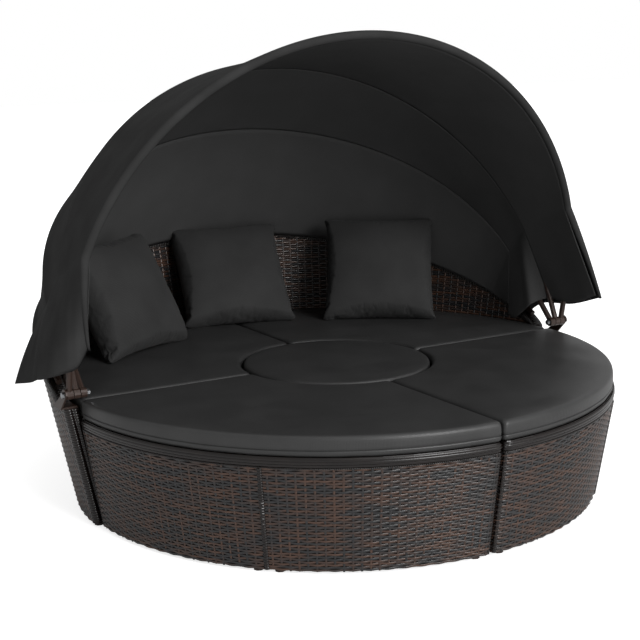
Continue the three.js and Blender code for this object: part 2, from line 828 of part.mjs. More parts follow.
// One line of cloth over a hoop, from the right hem over the top to the left hem.
function meridian(name) {
  const { flare, kneeOut, hemOut, hemBack, hemRise } = skirts[name];
  const curve = new HoopCurve(hoops[name]);
  const flareShare = flare / curve.getLength();
  const turn = new THREE.Matrix4().makeRotationX(-hoops[name].lean);
  const onHoop = (share) => {
    const point = curve.getPointAt(share);
    const tangent = curve.getTangentAt(share);
    const outward = new THREE.Vector3(tangent.z, 0, -tangent.x);
    return point.addScaledVector(outward, clothOffset).applyMatrix4(turn).add(pivot);
  };
  const arch = [];
  for (let step = 0; step <= archSteps; step += 1) {
    arch.push(onHoop(flareShare + (1 - 2 * flareShare) * step / archSteps));
  }
  const skirt = (left) => {
    const top = mirrored(arch[0], left);
    const lowest = new THREE.Vector3(frontHoopHalfWidth + hemOut, hemBack, pivotHeight + hemRise);
    const hem = mirrored(lowest, left);
    const knee = top.clone().lerp(hem, skirtKneeShare);
    knee.x += (left ? -1 : 1) * kneeOut;
    const bend = new THREE.QuadraticBezierCurve3(hem, knee, top);
    return bend.getPoints(skirtSteps).slice(0, skirtSteps);
  };
  return [...skirt(false), ...arch, ...skirt(true).reverse()];
}

// How far down its skirt a step lies: one at the hem, zero on the arch.
function skirtDepth(step) {
  const fromHem = Math.min(step, clothSteps - step);
  return Math.max(0, 1 - fromHem / skirtSteps);
}

// Skins rows of points into a thin sheet, with its wall on both sides of the rows.
function sheet(rows) {
  const columns = rows[0].length;
  const normals = rows.map((row, r) => row.map((point, c) => {
    const ahead = rows[Math.min(r + 1, rows.length - 1)][c];
    const behind = rows[Math.max(r - 1, 0)][c];
    const next = row[Math.min(c + 1, columns - 1)];
    const before = row[Math.max(c - 1, 0)];
    return ahead.clone().sub(behind).cross(next.clone().sub(before)).normalize();
  }));
  const side = (sign) => rows.map((row, r) => row.map((point, c) => (
    point.clone().addScaledVector(normals[r][c], sign * clothThickness / 2)
  )));
  const points = [...side(1).flat(), ...side(-1).flat()];
  const total = rows.length * columns;
  const at = (r, c) => r * columns + c;
  const faces = [];
  for (let r = 0; r < rows.length - 1; r += 1) {
    for (let c = 0; c < columns - 1; c += 1) {
      const [a, b, d, e] = [at(r, c), at(r, c + 1), at(r + 1, c), at(r + 1, c + 1)];
      faces.push([a, b, e], [a, e, d]);
      faces.push([total + a, total + e, total + b], [total + a, total + d, total + e]);
    }
  }
  const edge = (a, b) => faces.push([b, a, total + a], [b, total + a, total + b]);
  for (let c = 0; c < columns - 1; c += 1) {
    edge(at(0, c), at(0, c + 1));
    edge(at(rows.length - 1, c + 1), at(rows.length - 1, c));
  }
  for (let r = 0; r < rows.length - 1; r += 1) {
    edge(at(r + 1, 0), at(r, 0));
    edge(at(r, columns - 1), at(r + 1, columns - 1));
  }
  return faceted(points, faces);
}

// The cloth between two hoops, with its skirt's folds swelling out toward the hem.
function hoopPanel(fromName, toName, { folds, rowCount }) {
  const from = meridian(fromName);
  const to = meridian(toName);
  const rows = [];
  for (let row = 0; row <= rowCount; row += 1) {
    rows.push(from.map((point, step) => {
      const seam = clothSeam / 2 / point.distanceTo(to[step]);
      const share = seam + (1 - 2 * seam) * row / rowCount;
      const placed = point.clone().lerp(to[step], share);
      const depth = skirtDepth(step);
      const swell = skirtFold * depth * Math.sin(halfTurn * folds * row / rowCount) ** 2;
      placed.x += Math.sign(placed.x) * swell;
      return placed;
    }));
  }
  return sheet(rows);
}

// Where around the backrest each step of the rear cloth comes down. Its skirt takes the first few degrees.
function rearClothAngle(step) {
  const fromHem = Math.min(step, clothSteps - step);
  const skirtTurn = degrees(rearSkirtTurnDegrees) * Math.min(1, fromHem / skirtSteps);
  const onSkirt = degrees(rearClothStartDegrees) + skirtTurn;
  const archShare = Math.max(0, fromHem - skirtSteps) / (clothSteps / 2 - skirtSteps);
  const angle = onSkirt + (quarterTurn - onSkirt) * archShare;
  return step <= clothSteps / 2 ? angle : halfTurn - angle;
}

// The rear cloth, from the third hoop down over the fixed tube, with a short valance outside the rail.
function rearPanel() {
  const from = meridian('third');
  const to = from.map((point, step) => {
    const angle = rearClothAngle(step);
    const top = backrestTop(angle);
    const middle = backrestInner(top) + backrestThickness / 2;
    const diagonal = (clipInside + clipSheet + clothStandOff * 2) * Math.SQRT1_2;
    const swing = skirtDepth(step) * hemClear;
    const over = polar(middle + diagonal + swing, angle, top + rearTubeLift + diagonal);
    const shoulderRadius = middle + backrestThickness / 2 + hemClear * shoulderShare + swing;
    const shoulder = polar(shoulderRadius, angle, top + rearTubeLift * shoulderShare);
    const hemZ = top - hemDrop;
    const hem = polar(backrestInner(hemZ) + backrestThickness + hemClear + swing, angle, hemZ);
    return [over, shoulder, hem];
  });
  const rows = [];
  for (let row = 0; row <= slopeRows; row += 1) {
    rows.push(from.map((point, step) => {
      const skirtShare = Math.max(0, 1 - Math.min(step, clothSteps - step) / (2 * skirtSteps));
      const open = clothSeam / 2 + clothSkirtOpening * skirtShare;
      const seam = open / point.distanceTo(to[step][0]);
      return point.clone().lerp(to[step][0], seam + (1 - seam) * row / slopeRows);
    }));
  }
  rows.push(to.map((stops) => stops[1]));
  rows.push(to.map((stops) => stops[2]));
  return sheet(rows);
}

// The assembly

const mirroredX = new THREE.Matrix4().makeScale(-1, 1, 1);

function flipped(geometry) {
  const copy = geometry.clone().applyMatrix4(mirroredX);
  copy.setIndex(Array.from(copy.index.array).reverse());
  return copy;
}

const daybed = new THREE.Group();

function part(parent, name, geometry, material) {
  const mesh = new THREE.Mesh(geometry, material);
  mesh.name = name;
  parent.add(mesh);
  return mesh;
}

function turned(angle) {
  const quarter = new THREE.Group();
  quarter.rotation.z = angle;
  daybed.add(quarter);
  return quarter;
}

// Back sofa: seat box
part(daybed, 'sofa_wicker_skin', wovenSkin(sofaPlan), wicker);
part(daybed, 'sofa_rim_band', rimBand(sofaPlan), wrappedWicker);
part(daybed, 'sofa_deck', deck(sofaPlan), deckWeave);
const sofaPosts = legPosts(sofaPlan, halfTurn, [1 / 4, 1 / 2, 3 / 4]);
part(daybed, 'sofa_frame', seatFrame(sofaPlan, sofaPosts), steel);
const sofaCushionRadius = backrestInner(baseHeight) - cushionWallGap;
part(turned(0), 'sofa_right_cushion', quarterCushion(sofaCushionRadius), seatCloth);
part(turned(quarterTurn), 'sofa_left_cushion', quarterCushion(sofaCushionRadius), seatCloth);

// Back sofa: backrest
part(daybed, 'backrest_inner_skin', backrestSkinSolid(0), wicker);
part(daybed, 'backrest_outer_skin', backrestSkinSolid(backrestThickness - backrestSkin), wicker);
part(daybed, 'backrest_frame', backrestFrame(), steel);
part(daybed, 'backrest_top_rail', backrestTopRail(), wrappedWicker);
part(daybed, 'right_arm_trim', armTrim(), wrappedWicker);
part(daybed, 'left_arm_trim', flipped(armTrim()), wrappedWicker);

// Pillows, each leaning on the backrest with its lower edge on the seat
pillowPlaces.forEach(({ name, setIn, aroundDegrees, faceDegrees, leanDegrees }) => {
  const mesh = part(daybed, `${name}_pillow`, pillow(), pillowCloth);
  mesh.rotation.set(-degrees(leanDegrees), 0, degrees(faceDegrees) - quarterTurn, 'ZXY');
  const lowest = new THREE.Box3().setFromObject(mesh, true).min.z;
  const seatTop = baseHeight + cushionThickness + cushionCrown;
  const radius = backrestInner(baseHeight) - setIn;
  mesh.position.copy(polar(radius, degrees(aroundDegrees), seatTop + runningGap - lowest));
});

// Canopy pivots
const pivotLine = new THREE.Group();
pivotLine.position.copy(pivot);
daybed.add(pivotLine);
part(daybed, 'right_canopy_bracket', bracket(), steel);
part(pivotLine, 'right_pivot_bolt', pivotBolt(), zinc);
part(pivotLine, 'right_pivot_nut', pivotNut(), zinc);
part(daybed, 'left_canopy_bracket', flipped(bracket()), steel);
part(pivotLine, 'left_pivot_bolt', flipped(pivotBolt()), zinc);
part(pivotLine, 'left_pivot_nut', flipped(pivotNut()), zinc);

// Canopy hoops, tube and cloth
Object.entries(hoops).forEach(([name, hoop]) => {
  const swing = new THREE.Group();
  swing.rotation.x = -hoop.lean;
  pivotLine.add(swing);
  part(swing, `canopy_${name}_hoop`, hoopSolid(hoop), steel);
});
part(daybed, 'canopy_rear_tube', rearTube(), steel);
clipSteps.forEach((step, index) => {
  part(daybed, `canopy_rear_clip_${index + 1}`, rearClip(step), zinc);
});
part(daybed, 'canopy_front_cloth', hoopPanel('front', 'second', { folds: 2, rowCount: 7 }), canopyCloth);
part(daybed, 'canopy_middle_cloth', hoopPanel('second', 'third', { folds: 1, rowCount: 4 }), canopyCloth);
part(daybed, 'canopy_rear_cloth', rearPanel(), canopyCloth);

// Quarter ottomans
const seamShare = seamPostSpacing / 2 / (baseFloorRadius * quarterTurn);
const ottomanPosts = legPosts(ottomanPlan, quarterTurn, [1 / 2 - seamShare, 1 / 2 + seamShare]);
const seamCut = box(
  new THREE.Vector3(baseFloorRadius - seamDepth, -panelSeam / 2, glideHeight - cutOverrun),
  new THREE.Vector3(baseRimRadius + cutOverrun, panelSeam / 2, bandBottom + cutOverrun),
).rotateZ(quarterTurn / 2);
[['left_ottoman', halfTurn], ['right_ottoman', halfTurn + quarterTurn]].forEach(([name, angle]) => {
  const home = turned(angle);
  part(home, `${name}_wicker_skin`, wovenSkin(ottomanPlan, [seamCut]), wicker);
  part(home, `${name}_rim_band`, rimBand(ottomanPlan), wrappedWicker);
  part(home, `${name}_deck`, deck(ottomanPlan), deckWeave);
  part(home, `${name}_frame`, seatFrame(ottomanPlan, ottomanPosts), steel);
  part(home, `${name}_cushion`, quarterCushion(cushionRadius), seatCloth);
});

// Round centre ottoman
part(daybed, 'centre_wicker_drum', wovenSkin(centrePlan), wicker);
part(daybed, 'centre_rim_band', rimBand(centrePlan), wrappedWicker);
part(daybed, 'centre_deck', deck(centrePlan), deckWeave);
part(daybed, 'centre_frame', seatFrame(centrePlan, centrePosts()), steel);
part(daybed, 'centre_cushion', roundCushion(), seatCloth);

// The origin under the middle of the whole object
daybed.updateMatrixWorld(true);
const extent = new THREE.Box3().setFromObject(daybed, true);
const middleOfAll = extent.getCenter(new THREE.Vector3());
daybed.position.set(-middleOfAll.x, -middleOfAll.y, 0);

export default daybed;
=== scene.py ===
"""Outdoor round wicker daybed with a folding canopy: the looks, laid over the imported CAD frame.

Metres, +Z up. The bed's round centre is the middle of the centre cushion, and every shape is drawn
about it and then moved there.
"""

import math
from functools import partial

import bmesh
import bpy
import numpy as np
from mathutils import Matrix, Vector


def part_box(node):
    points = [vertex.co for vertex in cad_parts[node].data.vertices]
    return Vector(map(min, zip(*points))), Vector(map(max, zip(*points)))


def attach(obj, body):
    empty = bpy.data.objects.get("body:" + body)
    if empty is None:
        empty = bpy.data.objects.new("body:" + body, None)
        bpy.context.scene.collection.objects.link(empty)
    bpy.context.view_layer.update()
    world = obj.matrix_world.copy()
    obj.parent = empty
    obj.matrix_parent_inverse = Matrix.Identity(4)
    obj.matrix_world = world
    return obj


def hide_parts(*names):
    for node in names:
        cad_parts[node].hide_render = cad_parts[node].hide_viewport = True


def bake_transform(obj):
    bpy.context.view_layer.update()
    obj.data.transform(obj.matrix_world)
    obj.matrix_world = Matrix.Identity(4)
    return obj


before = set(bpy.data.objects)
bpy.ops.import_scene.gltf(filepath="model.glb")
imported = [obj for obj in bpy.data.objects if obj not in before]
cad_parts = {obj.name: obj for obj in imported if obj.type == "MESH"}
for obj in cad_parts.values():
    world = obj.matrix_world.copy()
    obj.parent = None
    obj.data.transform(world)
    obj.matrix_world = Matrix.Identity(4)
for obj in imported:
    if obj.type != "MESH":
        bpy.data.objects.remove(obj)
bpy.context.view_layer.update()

bl_info = {
    "name": "Round wicker daybed",
    "version": (1, 0, 0),
    "blender": (4, 5, 0),
    "location": "3D View > Sidebar > Daybed",
    "description": "Builds the woven, wrapped, padded and sewn pieces of a round daybed over its CAD frame",
    "category": "Object",
}

low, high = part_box("centre_cushion")
BED = np.array([(low[0] + high[0]) / 2, (low[1] + high[1]) / 2, 0.0])

# Base
RIM_RADIUS = 0.834
FLOOR_RADIUS = 0.783
CENTRE_RADIUS = 0.288
CENTRE_GAP = 0.020
WELL_RADIUS = CENTRE_RADIUS + CENTRE_GAP / 2
DRUM_RADIUS = CENTRE_RADIUS - CENTRE_GAP / 2
MODULE_GAP = 0.011
CORNER = 0.014
GLIDE = 0.009
SEAT_BASE = 0.331
BAND = 0.028
BAND_PROUD = 0.003
BAND_FOOT = SEAT_BASE - BAND
TAPER = (RIM_RADIUS - FLOOR_RADIUS) / (SEAT_BASE - GLIDE)
POST_RADIUS = 0.0062
POST_INSET = 0.0045
SEAM_RADIUS = 0.0070
SEAM_INSET = 0.0005

# Cushions
CUSHION_RADIUS = 0.830
CUSHION_GAP = 0.005
CENTRE_CUSHION_GAP = 0.007
CUSHION_EDGE = 0.013
CUSHION_WALL_GAP = 0.003
CUSHION_THICKNESS = 0.056
CUSHION_CROWN = 0.005
SEAT_CLEARANCE = 0.0003

# Backrest
BACK_FLOOR_RADIUS = 0.760
BACK_LEAN = 0.2
BACK_THICKNESS = 0.037
ARM_TOP = 0.358
BACK_TOP = 0.650
CLIMB = 0.8
ARM_ANGLE = math.radians(1.4)
CLIMB_START = 0.0765 / 0.8316
RAIL_HEIGHT = 0.022
RAIL_HALF = 0.0205
RAIL_LIFT = 0.0006
ARM_DEPTH = 0.013
TUBE_LIFT = 0.0343

# Canopy: each hoop's lean, height over the pivot, straight leg and half width
PIVOT = np.array([0.0, -0.015, 0.408])
HOOP_RADIUS = 0.009
TUBE_GAP = 0.0091
VALANCE = 0.030
VALANCE_GAP = 0.014
WRINKLE = 0.0035
LEG_PUSH = 0.031
LINING_INSET = 0.0256
CLOTH_OFFSET = 0.0124
CLOTH_THICKNESS = 0.0012
HOOPS = {
    "front": (math.radians(-10.4), 0.959, 0.140, 0.866),
    "second": (math.radians(24), 0.931, 0.125, 0.846),
    "third": (math.radians(45), 0.912, 0.260, 0.826),
}
# How far along each hoop from its foot the cloth leaves it, and how far its skirt's knee stands out
FLARES = {"front": (0.400, 0.010), "second": (0.330, 0.030), "third": (0.300, 0.020)}
# Hems from the front hoop back, of the outer cloth and of the lining that hides the hoops from inside;
# the lining is drawn lighter as painted light. The right lining turns inside the backrest behind the second
# hoop.
HEMS = {
    "front": ([(0.860, -0.220, 0.519), (0.880, -0.060, 0.470), (0.915, 0.030, 0.452)],
              [(-0.837, -0.100, 0.546), (-0.872, -0.108, 0.503), (-0.914, -0.085, 0.485),
               (-0.944, -0.020, 0.462), (-0.938, 0.030, 0.450)]),
    "middle": ([(0.915, 0.030, 0.452), (0.901, 0.106, 0.445), (0.925, 0.225, 0.392)],
               [(-0.938, 0.030, 0.450), (-0.930, 0.110, 0.425), (-0.932, 0.240, 0.394)]),
    "front lining": ([(0.850, -0.205, 0.524), (0.850, -0.107, 0.486), (0.846, 0.023, 0.481)],
                     [(-0.832, -0.082, 0.548), (-0.838, -0.020, 0.505), (-0.845, 0.045, 0.480)]),
    "middle lining": ([(0.846, 0.023, 0.481), (0.818, 0.036, 0.474), (0.790, 0.050, 0.461),
                       (0.786, 0.082, 0.434), (0.787, 0.138, 0.401), (0.792, 0.173, 0.406)],
                      [(-0.845, 0.045, 0.480), (-0.800, 0.100, 0.460), (-0.792, 0.173, 0.450)]),
}
REAR_HEM = (0.930, 0.240, 0.394)
REAR_LINING_HEM = (0.792, 0.173, 0.440)

# Points along a hoop, over the part of it that cloth lies on, and up each skirt
HOOP_POINTS = 2400
ARCH = 200
SKIRT = 26
SKIRT_SHARE = np.linspace(0, 1, SKIRT + 1)[:-1]

# What each panel hangs between, and how far either side of their middle plane it bends in a fold
JOINS = {
    "front": ("front", "second", 0.10),
    "middle": ("second", "third", 0.06),
    "rear": ("third", "sofa", 0.07),
}

SEED = 7


def linear(colour):
    """A hex sRGB colour as linear red, green and blue."""
    channels = [int(colour[i:i + 2], 16) / 255 for i in (1, 3, 5)]
    return [c / 12.92 if c <= 0.04045 else ((c + 0.055) / 1.055) ** 2.4 for c in channels]


def colour_property(name, description, colour):
    return bpy.props.FloatVectorProperty(
        name=name, description=description, subtype="COLOR", size=3, min=0, max=1, default=linear(colour))


def length_property(name, description, default):
    return bpy.props.FloatProperty(name=name, description=description, default=default, unit="LENGTH")


def light_property(name, description, default):
    return bpy.props.FloatProperty(name=name, description=description, default=default)


class DaybedWicker(bpy.types.PropertyGroup):
    """Sizes and colours of the woven and wrapped strands."""
    brown: colour_property("Brown", "Brown stretches of the mixed strand", "#49352b")
    grey: colour_property("Grey", "Grey-black stretches of the mixed strand", "#2c2c2d")
    wrap: colour_property("Wrap", "Strand that is wrapped round rails and edges", "#17110f")
    # Painted shade: the near-black that the skins and the drum behind the strands are drawn in, to stand for
    # the shade between the strands; the deck webbing is drawn in it too.
    core: colour_property("Core", "What shows dark between the strands", "#0b0706")
    strand_width: length_property("Strand width", "Width of a flat strand", 0.0061)
    row_pitch: length_property("Row pitch", "From one woven row to the next", 0.0077)
    stake_pitch: length_property("Stake pitch", "From one upright stake to the next", 0.0245)
    stake_width: length_property("Stake width", "Width of an upright stake", 0.0062)
    wrap_pitch: length_property("Wrap pitch", "From one turn of a wrapped strand to the next", 0.0075)


class DaybedFabric(bpy.types.PropertyGroup):
    """Colours of the sewn pieces."""
    seat: colour_property("Seat", "Seat cushions' cover", "#353535")
    pillow: colour_property("Pillow", "Loose pillows' cover", "#323232")
    canopy: colour_property("Canopy", "Canopy cloth", "#373737")
    # Painted light: the lining is drawn lighter than the outer cloth to stand for the light that falls inside
    # the canopy.
    lining: colour_property("Canopy lining", "Cloth inside the canopy", "#4c4c4c")
    # Painted shade: the seam colour is near-black to stand for the shade in the zip line's groove.
    seam: colour_property("Seam", "Shadowed line of a zip or seam", "#161616")


class DaybedMetal(bpy.types.PropertyGroup):
    """Colours of the metal pieces."""
    tube: colour_property("Tube", "Powder coat of frames, hoops and brackets", "#3a2c26")
    zinc: colour_property("Zinc", "Plated bolts, nuts and clips", "#9a9c9e")


class DaybedStage(bpy.types.PropertyGroup):
    """The plain studio around the bed."""
    ambient: light_property("Ambient", "Even light from all round", 0.34)
    key: light_property("Key", "Soft light ahead, a little from the right", 1.5)
    fill: light_property("Fill", "Soft low light ahead, that reaches under the canopy", 0.9)
    top: light_property("Top", "Weaker soft light from above", 0.5)
    floor: colour_property("Floor", "Colour of the floor", "#f4f4f4")


# Node helpers

def add_node(tree, kind, values=None, **settings):
    """A node with its settings, and its inputs set to a value or linked from a socket."""
    made = tree.nodes.new(kind)
    for key, value in settings.items():
        setattr(made, key, value)
    for key, value in (values or {}).items():
        if isinstance(value, bpy.types.NodeSocket):
            tree.links.new(value, made.inputs[key])
        else:
            made.inputs[key].default_value = value
    return made


def maths(tree, operation, *values):
    """A maths node's result."""
    return add_node(tree, "ShaderNodeMath", dict(enumerate(values)), operation=operation).outputs[0]


def shader(name, roughness, metallic=0.0, **sockets):
    """A new material with its Principled shader's plain values set; returns both and the node tree."""
    made = bpy.data.materials.new(name)
    made.use_nodes = True
    tree = made.node_tree
    surface = tree.nodes["Principled BSDF"]
    surface.inputs["Roughness"].default_value = roughness
    surface.inputs["Metallic"].default_value = metallic
    for key, value in sockets.items():
        surface.inputs[key.replace("_", " ")].default_value = value
    return made, tree, surface


def rgba(colour):
    return (*colour, 1.0)


def ramp(tree, fac, stops):
    """A colour ramp with (place, colour) stops."""
    made = add_node(tree, "ShaderNodeValToRGB", {"Fac": fac})
    elements = made.color_ramp.elements
    while len(elements) < len(stops):
        elements.new(0.5)
    for element, (place, colour) in zip(elements, stops):
        element.position = place
        element.color = rgba(colour)
    return made.outputs["Color"]


def bump(tree, surface, height, distance, strength=1.0):
    made = add_node(tree, "ShaderNodeBump", {"Height": height, "Distance": distance, "Strength": strength})
    tree.links.new(made.outputs["Normal"], surface.inputs["Normal"])


def noise(tree, place, scale, detail):
    made = add_node(tree, "ShaderNodeTexNoise", {"Vector": place, "Scale": scale, "Detail": detail})
    return made.outputs["Fac"]


def own_place(tree):
    return add_node(tree, "ShaderNodeTexCoord").outputs["Object"]


def strand_material(name, brown, grey, shade, roughness, lengthwise):
    """Flat extruded polyethylene strand: brown and grey-black stretches run along it, and fine draw lines
    along its length break up the gloss."""
    _, tree, surface = shader(name, roughness)
    lay = add_node(tree, "ShaderNodeAttribute", attribute_name="lay").outputs["Vector"]

    def streaks(scale, detail):
        stretch = add_node(tree, "ShaderNodeMapping", {"Vector": lay, "Scale": scale})
        return noise(tree, stretch.outputs[0], 1.0, detail)

    grey = [shade * g for g in grey]
    stops = [(0.32, [0.75 * g for g in grey]), (0.44, grey), (0.58, brown), (0.7, [1.2 * b for b in brown])]
    tree.links.new(ramp(tree, streaks((lengthwise, 1.7, 5.0), 2.0), stops), surface.inputs["Base Color"])
    bump(tree, surface, streaks((30.0, 40.0, 5.0), 3.0), 0.0004, 0.6)


def plain_material(name, colour, roughness, metallic=0.0, grain=0.0, grain_size=0.001):
    """One colour with a fine grain, such as powder coat's orange peel or a plated bolt's dullness."""
    _, tree, surface = shader(name, roughness, metallic)
    surface.inputs["Base Color"].default_value = rgba(colour)
    if grain:
        bump(tree, surface, noise(tree, own_place(tree), 1 / grain_size, 2.0), grain)


def fabric_material(name, colour, roughness, thread, sheen, mottle, gloss):
    """Plain-woven polyester: a crossed thread relief by its real pitch, a slight mottle in the dye, and
    a soft sheen toward the edges of a form."""
    _, tree, surface = shader(name, roughness, Sheen_Weight=sheen, Specular_IOR_Level=gloss)
    place = own_place(tree)
    stops = [(0.35, [c * (1 - mottle) for c in colour]), (0.65, [c * (1 + mottle) for c in colour])]
    tree.links.new(ramp(tree, noise(tree, place, 9.0, 4.0), stops), surface.inputs["Base Color"])
    x, z, y = (add_node(tree, "ShaderNodeTexWave", {"Vector": place, "Scale": 1 / (20 * thread)},
                        bands_direction=way).outputs["Fac"] for way in "XZY")
    bump(tree, surface, maths(tree, "ADD", maths(tree, "MAXIMUM", x, z), y), thread * 0.3, 0.5)


def webbing_material(name, colour):
    """Deck of flat straps, 20 mm wide, over and under each other."""
    _, tree, surface = shader(name, 0.6)
    checks = add_node(tree, "ShaderNodeTexChecker", {
        "Vector": own_place(tree), "Scale": 50.0, "Color1": rgba(colour),
        "Color2": rgba([c * 0.55 for c in colour])})
    tree.links.new(checks.outputs["Color"], surface.inputs["Base Color"])
    bump(tree, surface, checks.outputs["Fac"], 0.0008)


WOVEN = "Woven polyethylene strand"
WRAPPED = "Wrapped polyethylene strand"
# Each material's maker and what it is given; a text names a group of settings and a colour in it
MATERIALS = {
    WOVEN: (strand_material, "wicker.brown", "wicker.grey", 1.0, 0.3, 7.0),
    WRAPPED: (strand_material, "wicker.wrap", "wicker.wrap", 0.7, 0.24, 14.0),
    # Painted shade: the backing behind the weave is drawn near-black to stand for the shade between the
    # strands, and the deck webbing takes the same colour.
    "Shadowed weave backing": (plain_material, "wicker.core", 0.9),
    "Deck webbing": (webbing_material, "wicker.core"),
    "Coated seat polyester": (fabric_material, "fabric.seat", 0.4, 0.0006, 0.0, 0.12, 0.45),
    "Pillow polyester": (fabric_material, "fabric.pillow", 0.8, 0.0007, 0.03, 0.12, 0.2),
    "Canopy polyester": (fabric_material, "fabric.canopy", 0.8, 0.0006, 0.0, 0.12, 0.02),
    # Painted light: the lighter lining cloth stands for the light that falls inside the canopy.
    "Canopy lining polyester": (fabric_material, "fabric.lining", 0.8, 0.0006, 0.0, 0.04, 0.05),
    # Painted shade: the zip line is drawn near-black to stand for the shade in its groove.
    "Zip seam": (plain_material, "fabric.seam", 0.6),
    "Brown powder coat": (plain_material, "metal.tube", 0.4, 0.2, 0.00005, 0.0015),
    "Zinc plate": (plain_material, "metal.zinc", 0.35, 1.0, 0.00003, 0.002),
}


def setting(value):
    if not isinstance(value, str):
        return value
    group, key = value.split(".")
    return list(getattr(getattr(bpy.context.scene, f"daybed_{group}"), key))


def material(name):
    """One of the bed's materials, made the first time that it is asked for."""
    if name not in bpy.data.materials:
        maker, *values = MATERIALS[name]
        maker(name, *map(setting, values))
    return bpy.data.materials[name]


# Mesh helpers

def new_object(name, points, faces):
    """An object from bed-centred points, moved to the frame's own place."""
    mesh = bpy.data.meshes.new(name)
    mesh.from_pydata((np.asarray(points, float) + BED).tolist(), [], faces)
    mesh.validate()
    mesh.shade_smooth()
    made = bpy.data.objects.new(name, mesh)
    bpy.context.scene.collection.objects.link(made)
    return made


def dress(made, *names):
    """Gives a piece its materials, in place of any that it has."""
    made.data.materials.clear()
    for name in names:
        made.data.materials.append(material(name))


def outward(made, weld=0.0):
    """Turns a closed piece's faces outward, after its points that lie within a distance are welded."""
    work = bmesh.new()
    work.from_mesh(made.data)
    if weld:
        bmesh.ops.remove_doubles(work, verts=work.verts, dist=weld)
    bmesh.ops.recalc_face_normals(work, faces=work.faces)
    work.to_mesh(made.data)
    work.free()
    made.data.shade_smooth()


def select_only(objects):
    for other in bpy.context.selected_objects:
        other.select_set(False)
    for one in objects:
        one.select_set(True)
    bpy.context.view_layer.objects.active = objects[0]


def joined(objects, name):
    """Objects made one, under a name."""
    select_only(objects)
    if len(objects) > 1:
        bpy.ops.object.join()
    objects[0].name = name
    objects[0].data.name = name
    return objects[0]


def baked(made):
    """The object with its modifiers worked into a plain mesh."""
    evaluated = made.evaluated_get(bpy.context.evaluated_depsgraph_get())
    mesh = bpy.data.meshes.new_from_object(evaluated)
    made.modifiers.clear()
    made.data = mesh
    return made


def grid_faces(columns, rows):
    """Quads over columns x rows of points."""
    return [(a, a + rows, a + rows + 1, a + 1)
            for first in range(0, (columns - 1) * rows, rows) for a in range(first, first + rows - 1)]


def unit(vectors):
    return vectors / np.maximum(np.linalg.norm(vectors, axis=-1, keepdims=True), 1e-12)


def lengths(points):
    """How far along a line each of its points lies."""
    steps = np.linalg.norm(np.diff(points, axis=0), axis=1)
    return np.concatenate([[0.0], np.cumsum(steps)])


def smooth_noise(values, seed, waves=6):
    """A smooth wave of about -1 to 1 over any number of coordinates, the same for each run."""
    rng = np.random.default_rng(seed)
    total = 0.0
    for _ in range(waves):
        direction = rng.normal(size=values.shape[-1])
        total = total + np.sin(values @ direction + rng.uniform(0, 2 * math.pi))
    return total / math.sqrt(waves)


# Strands: one node tree lays flat strands over any sheet that carries its lengths as a UV map

SOCKETS = {
    "Geometry": ("Geometry",),
    "Float": ("Foot", "Length", "Height", "Row Pitch", "Row Width", "Stake Pitch", "Stake Width",
              "Relief", "Thickness", "Lift", "Wander"),
    "Int": ("Rows", "Stakes", "Row Points", "Stake Points"),
    "Material": ("Material",),
}


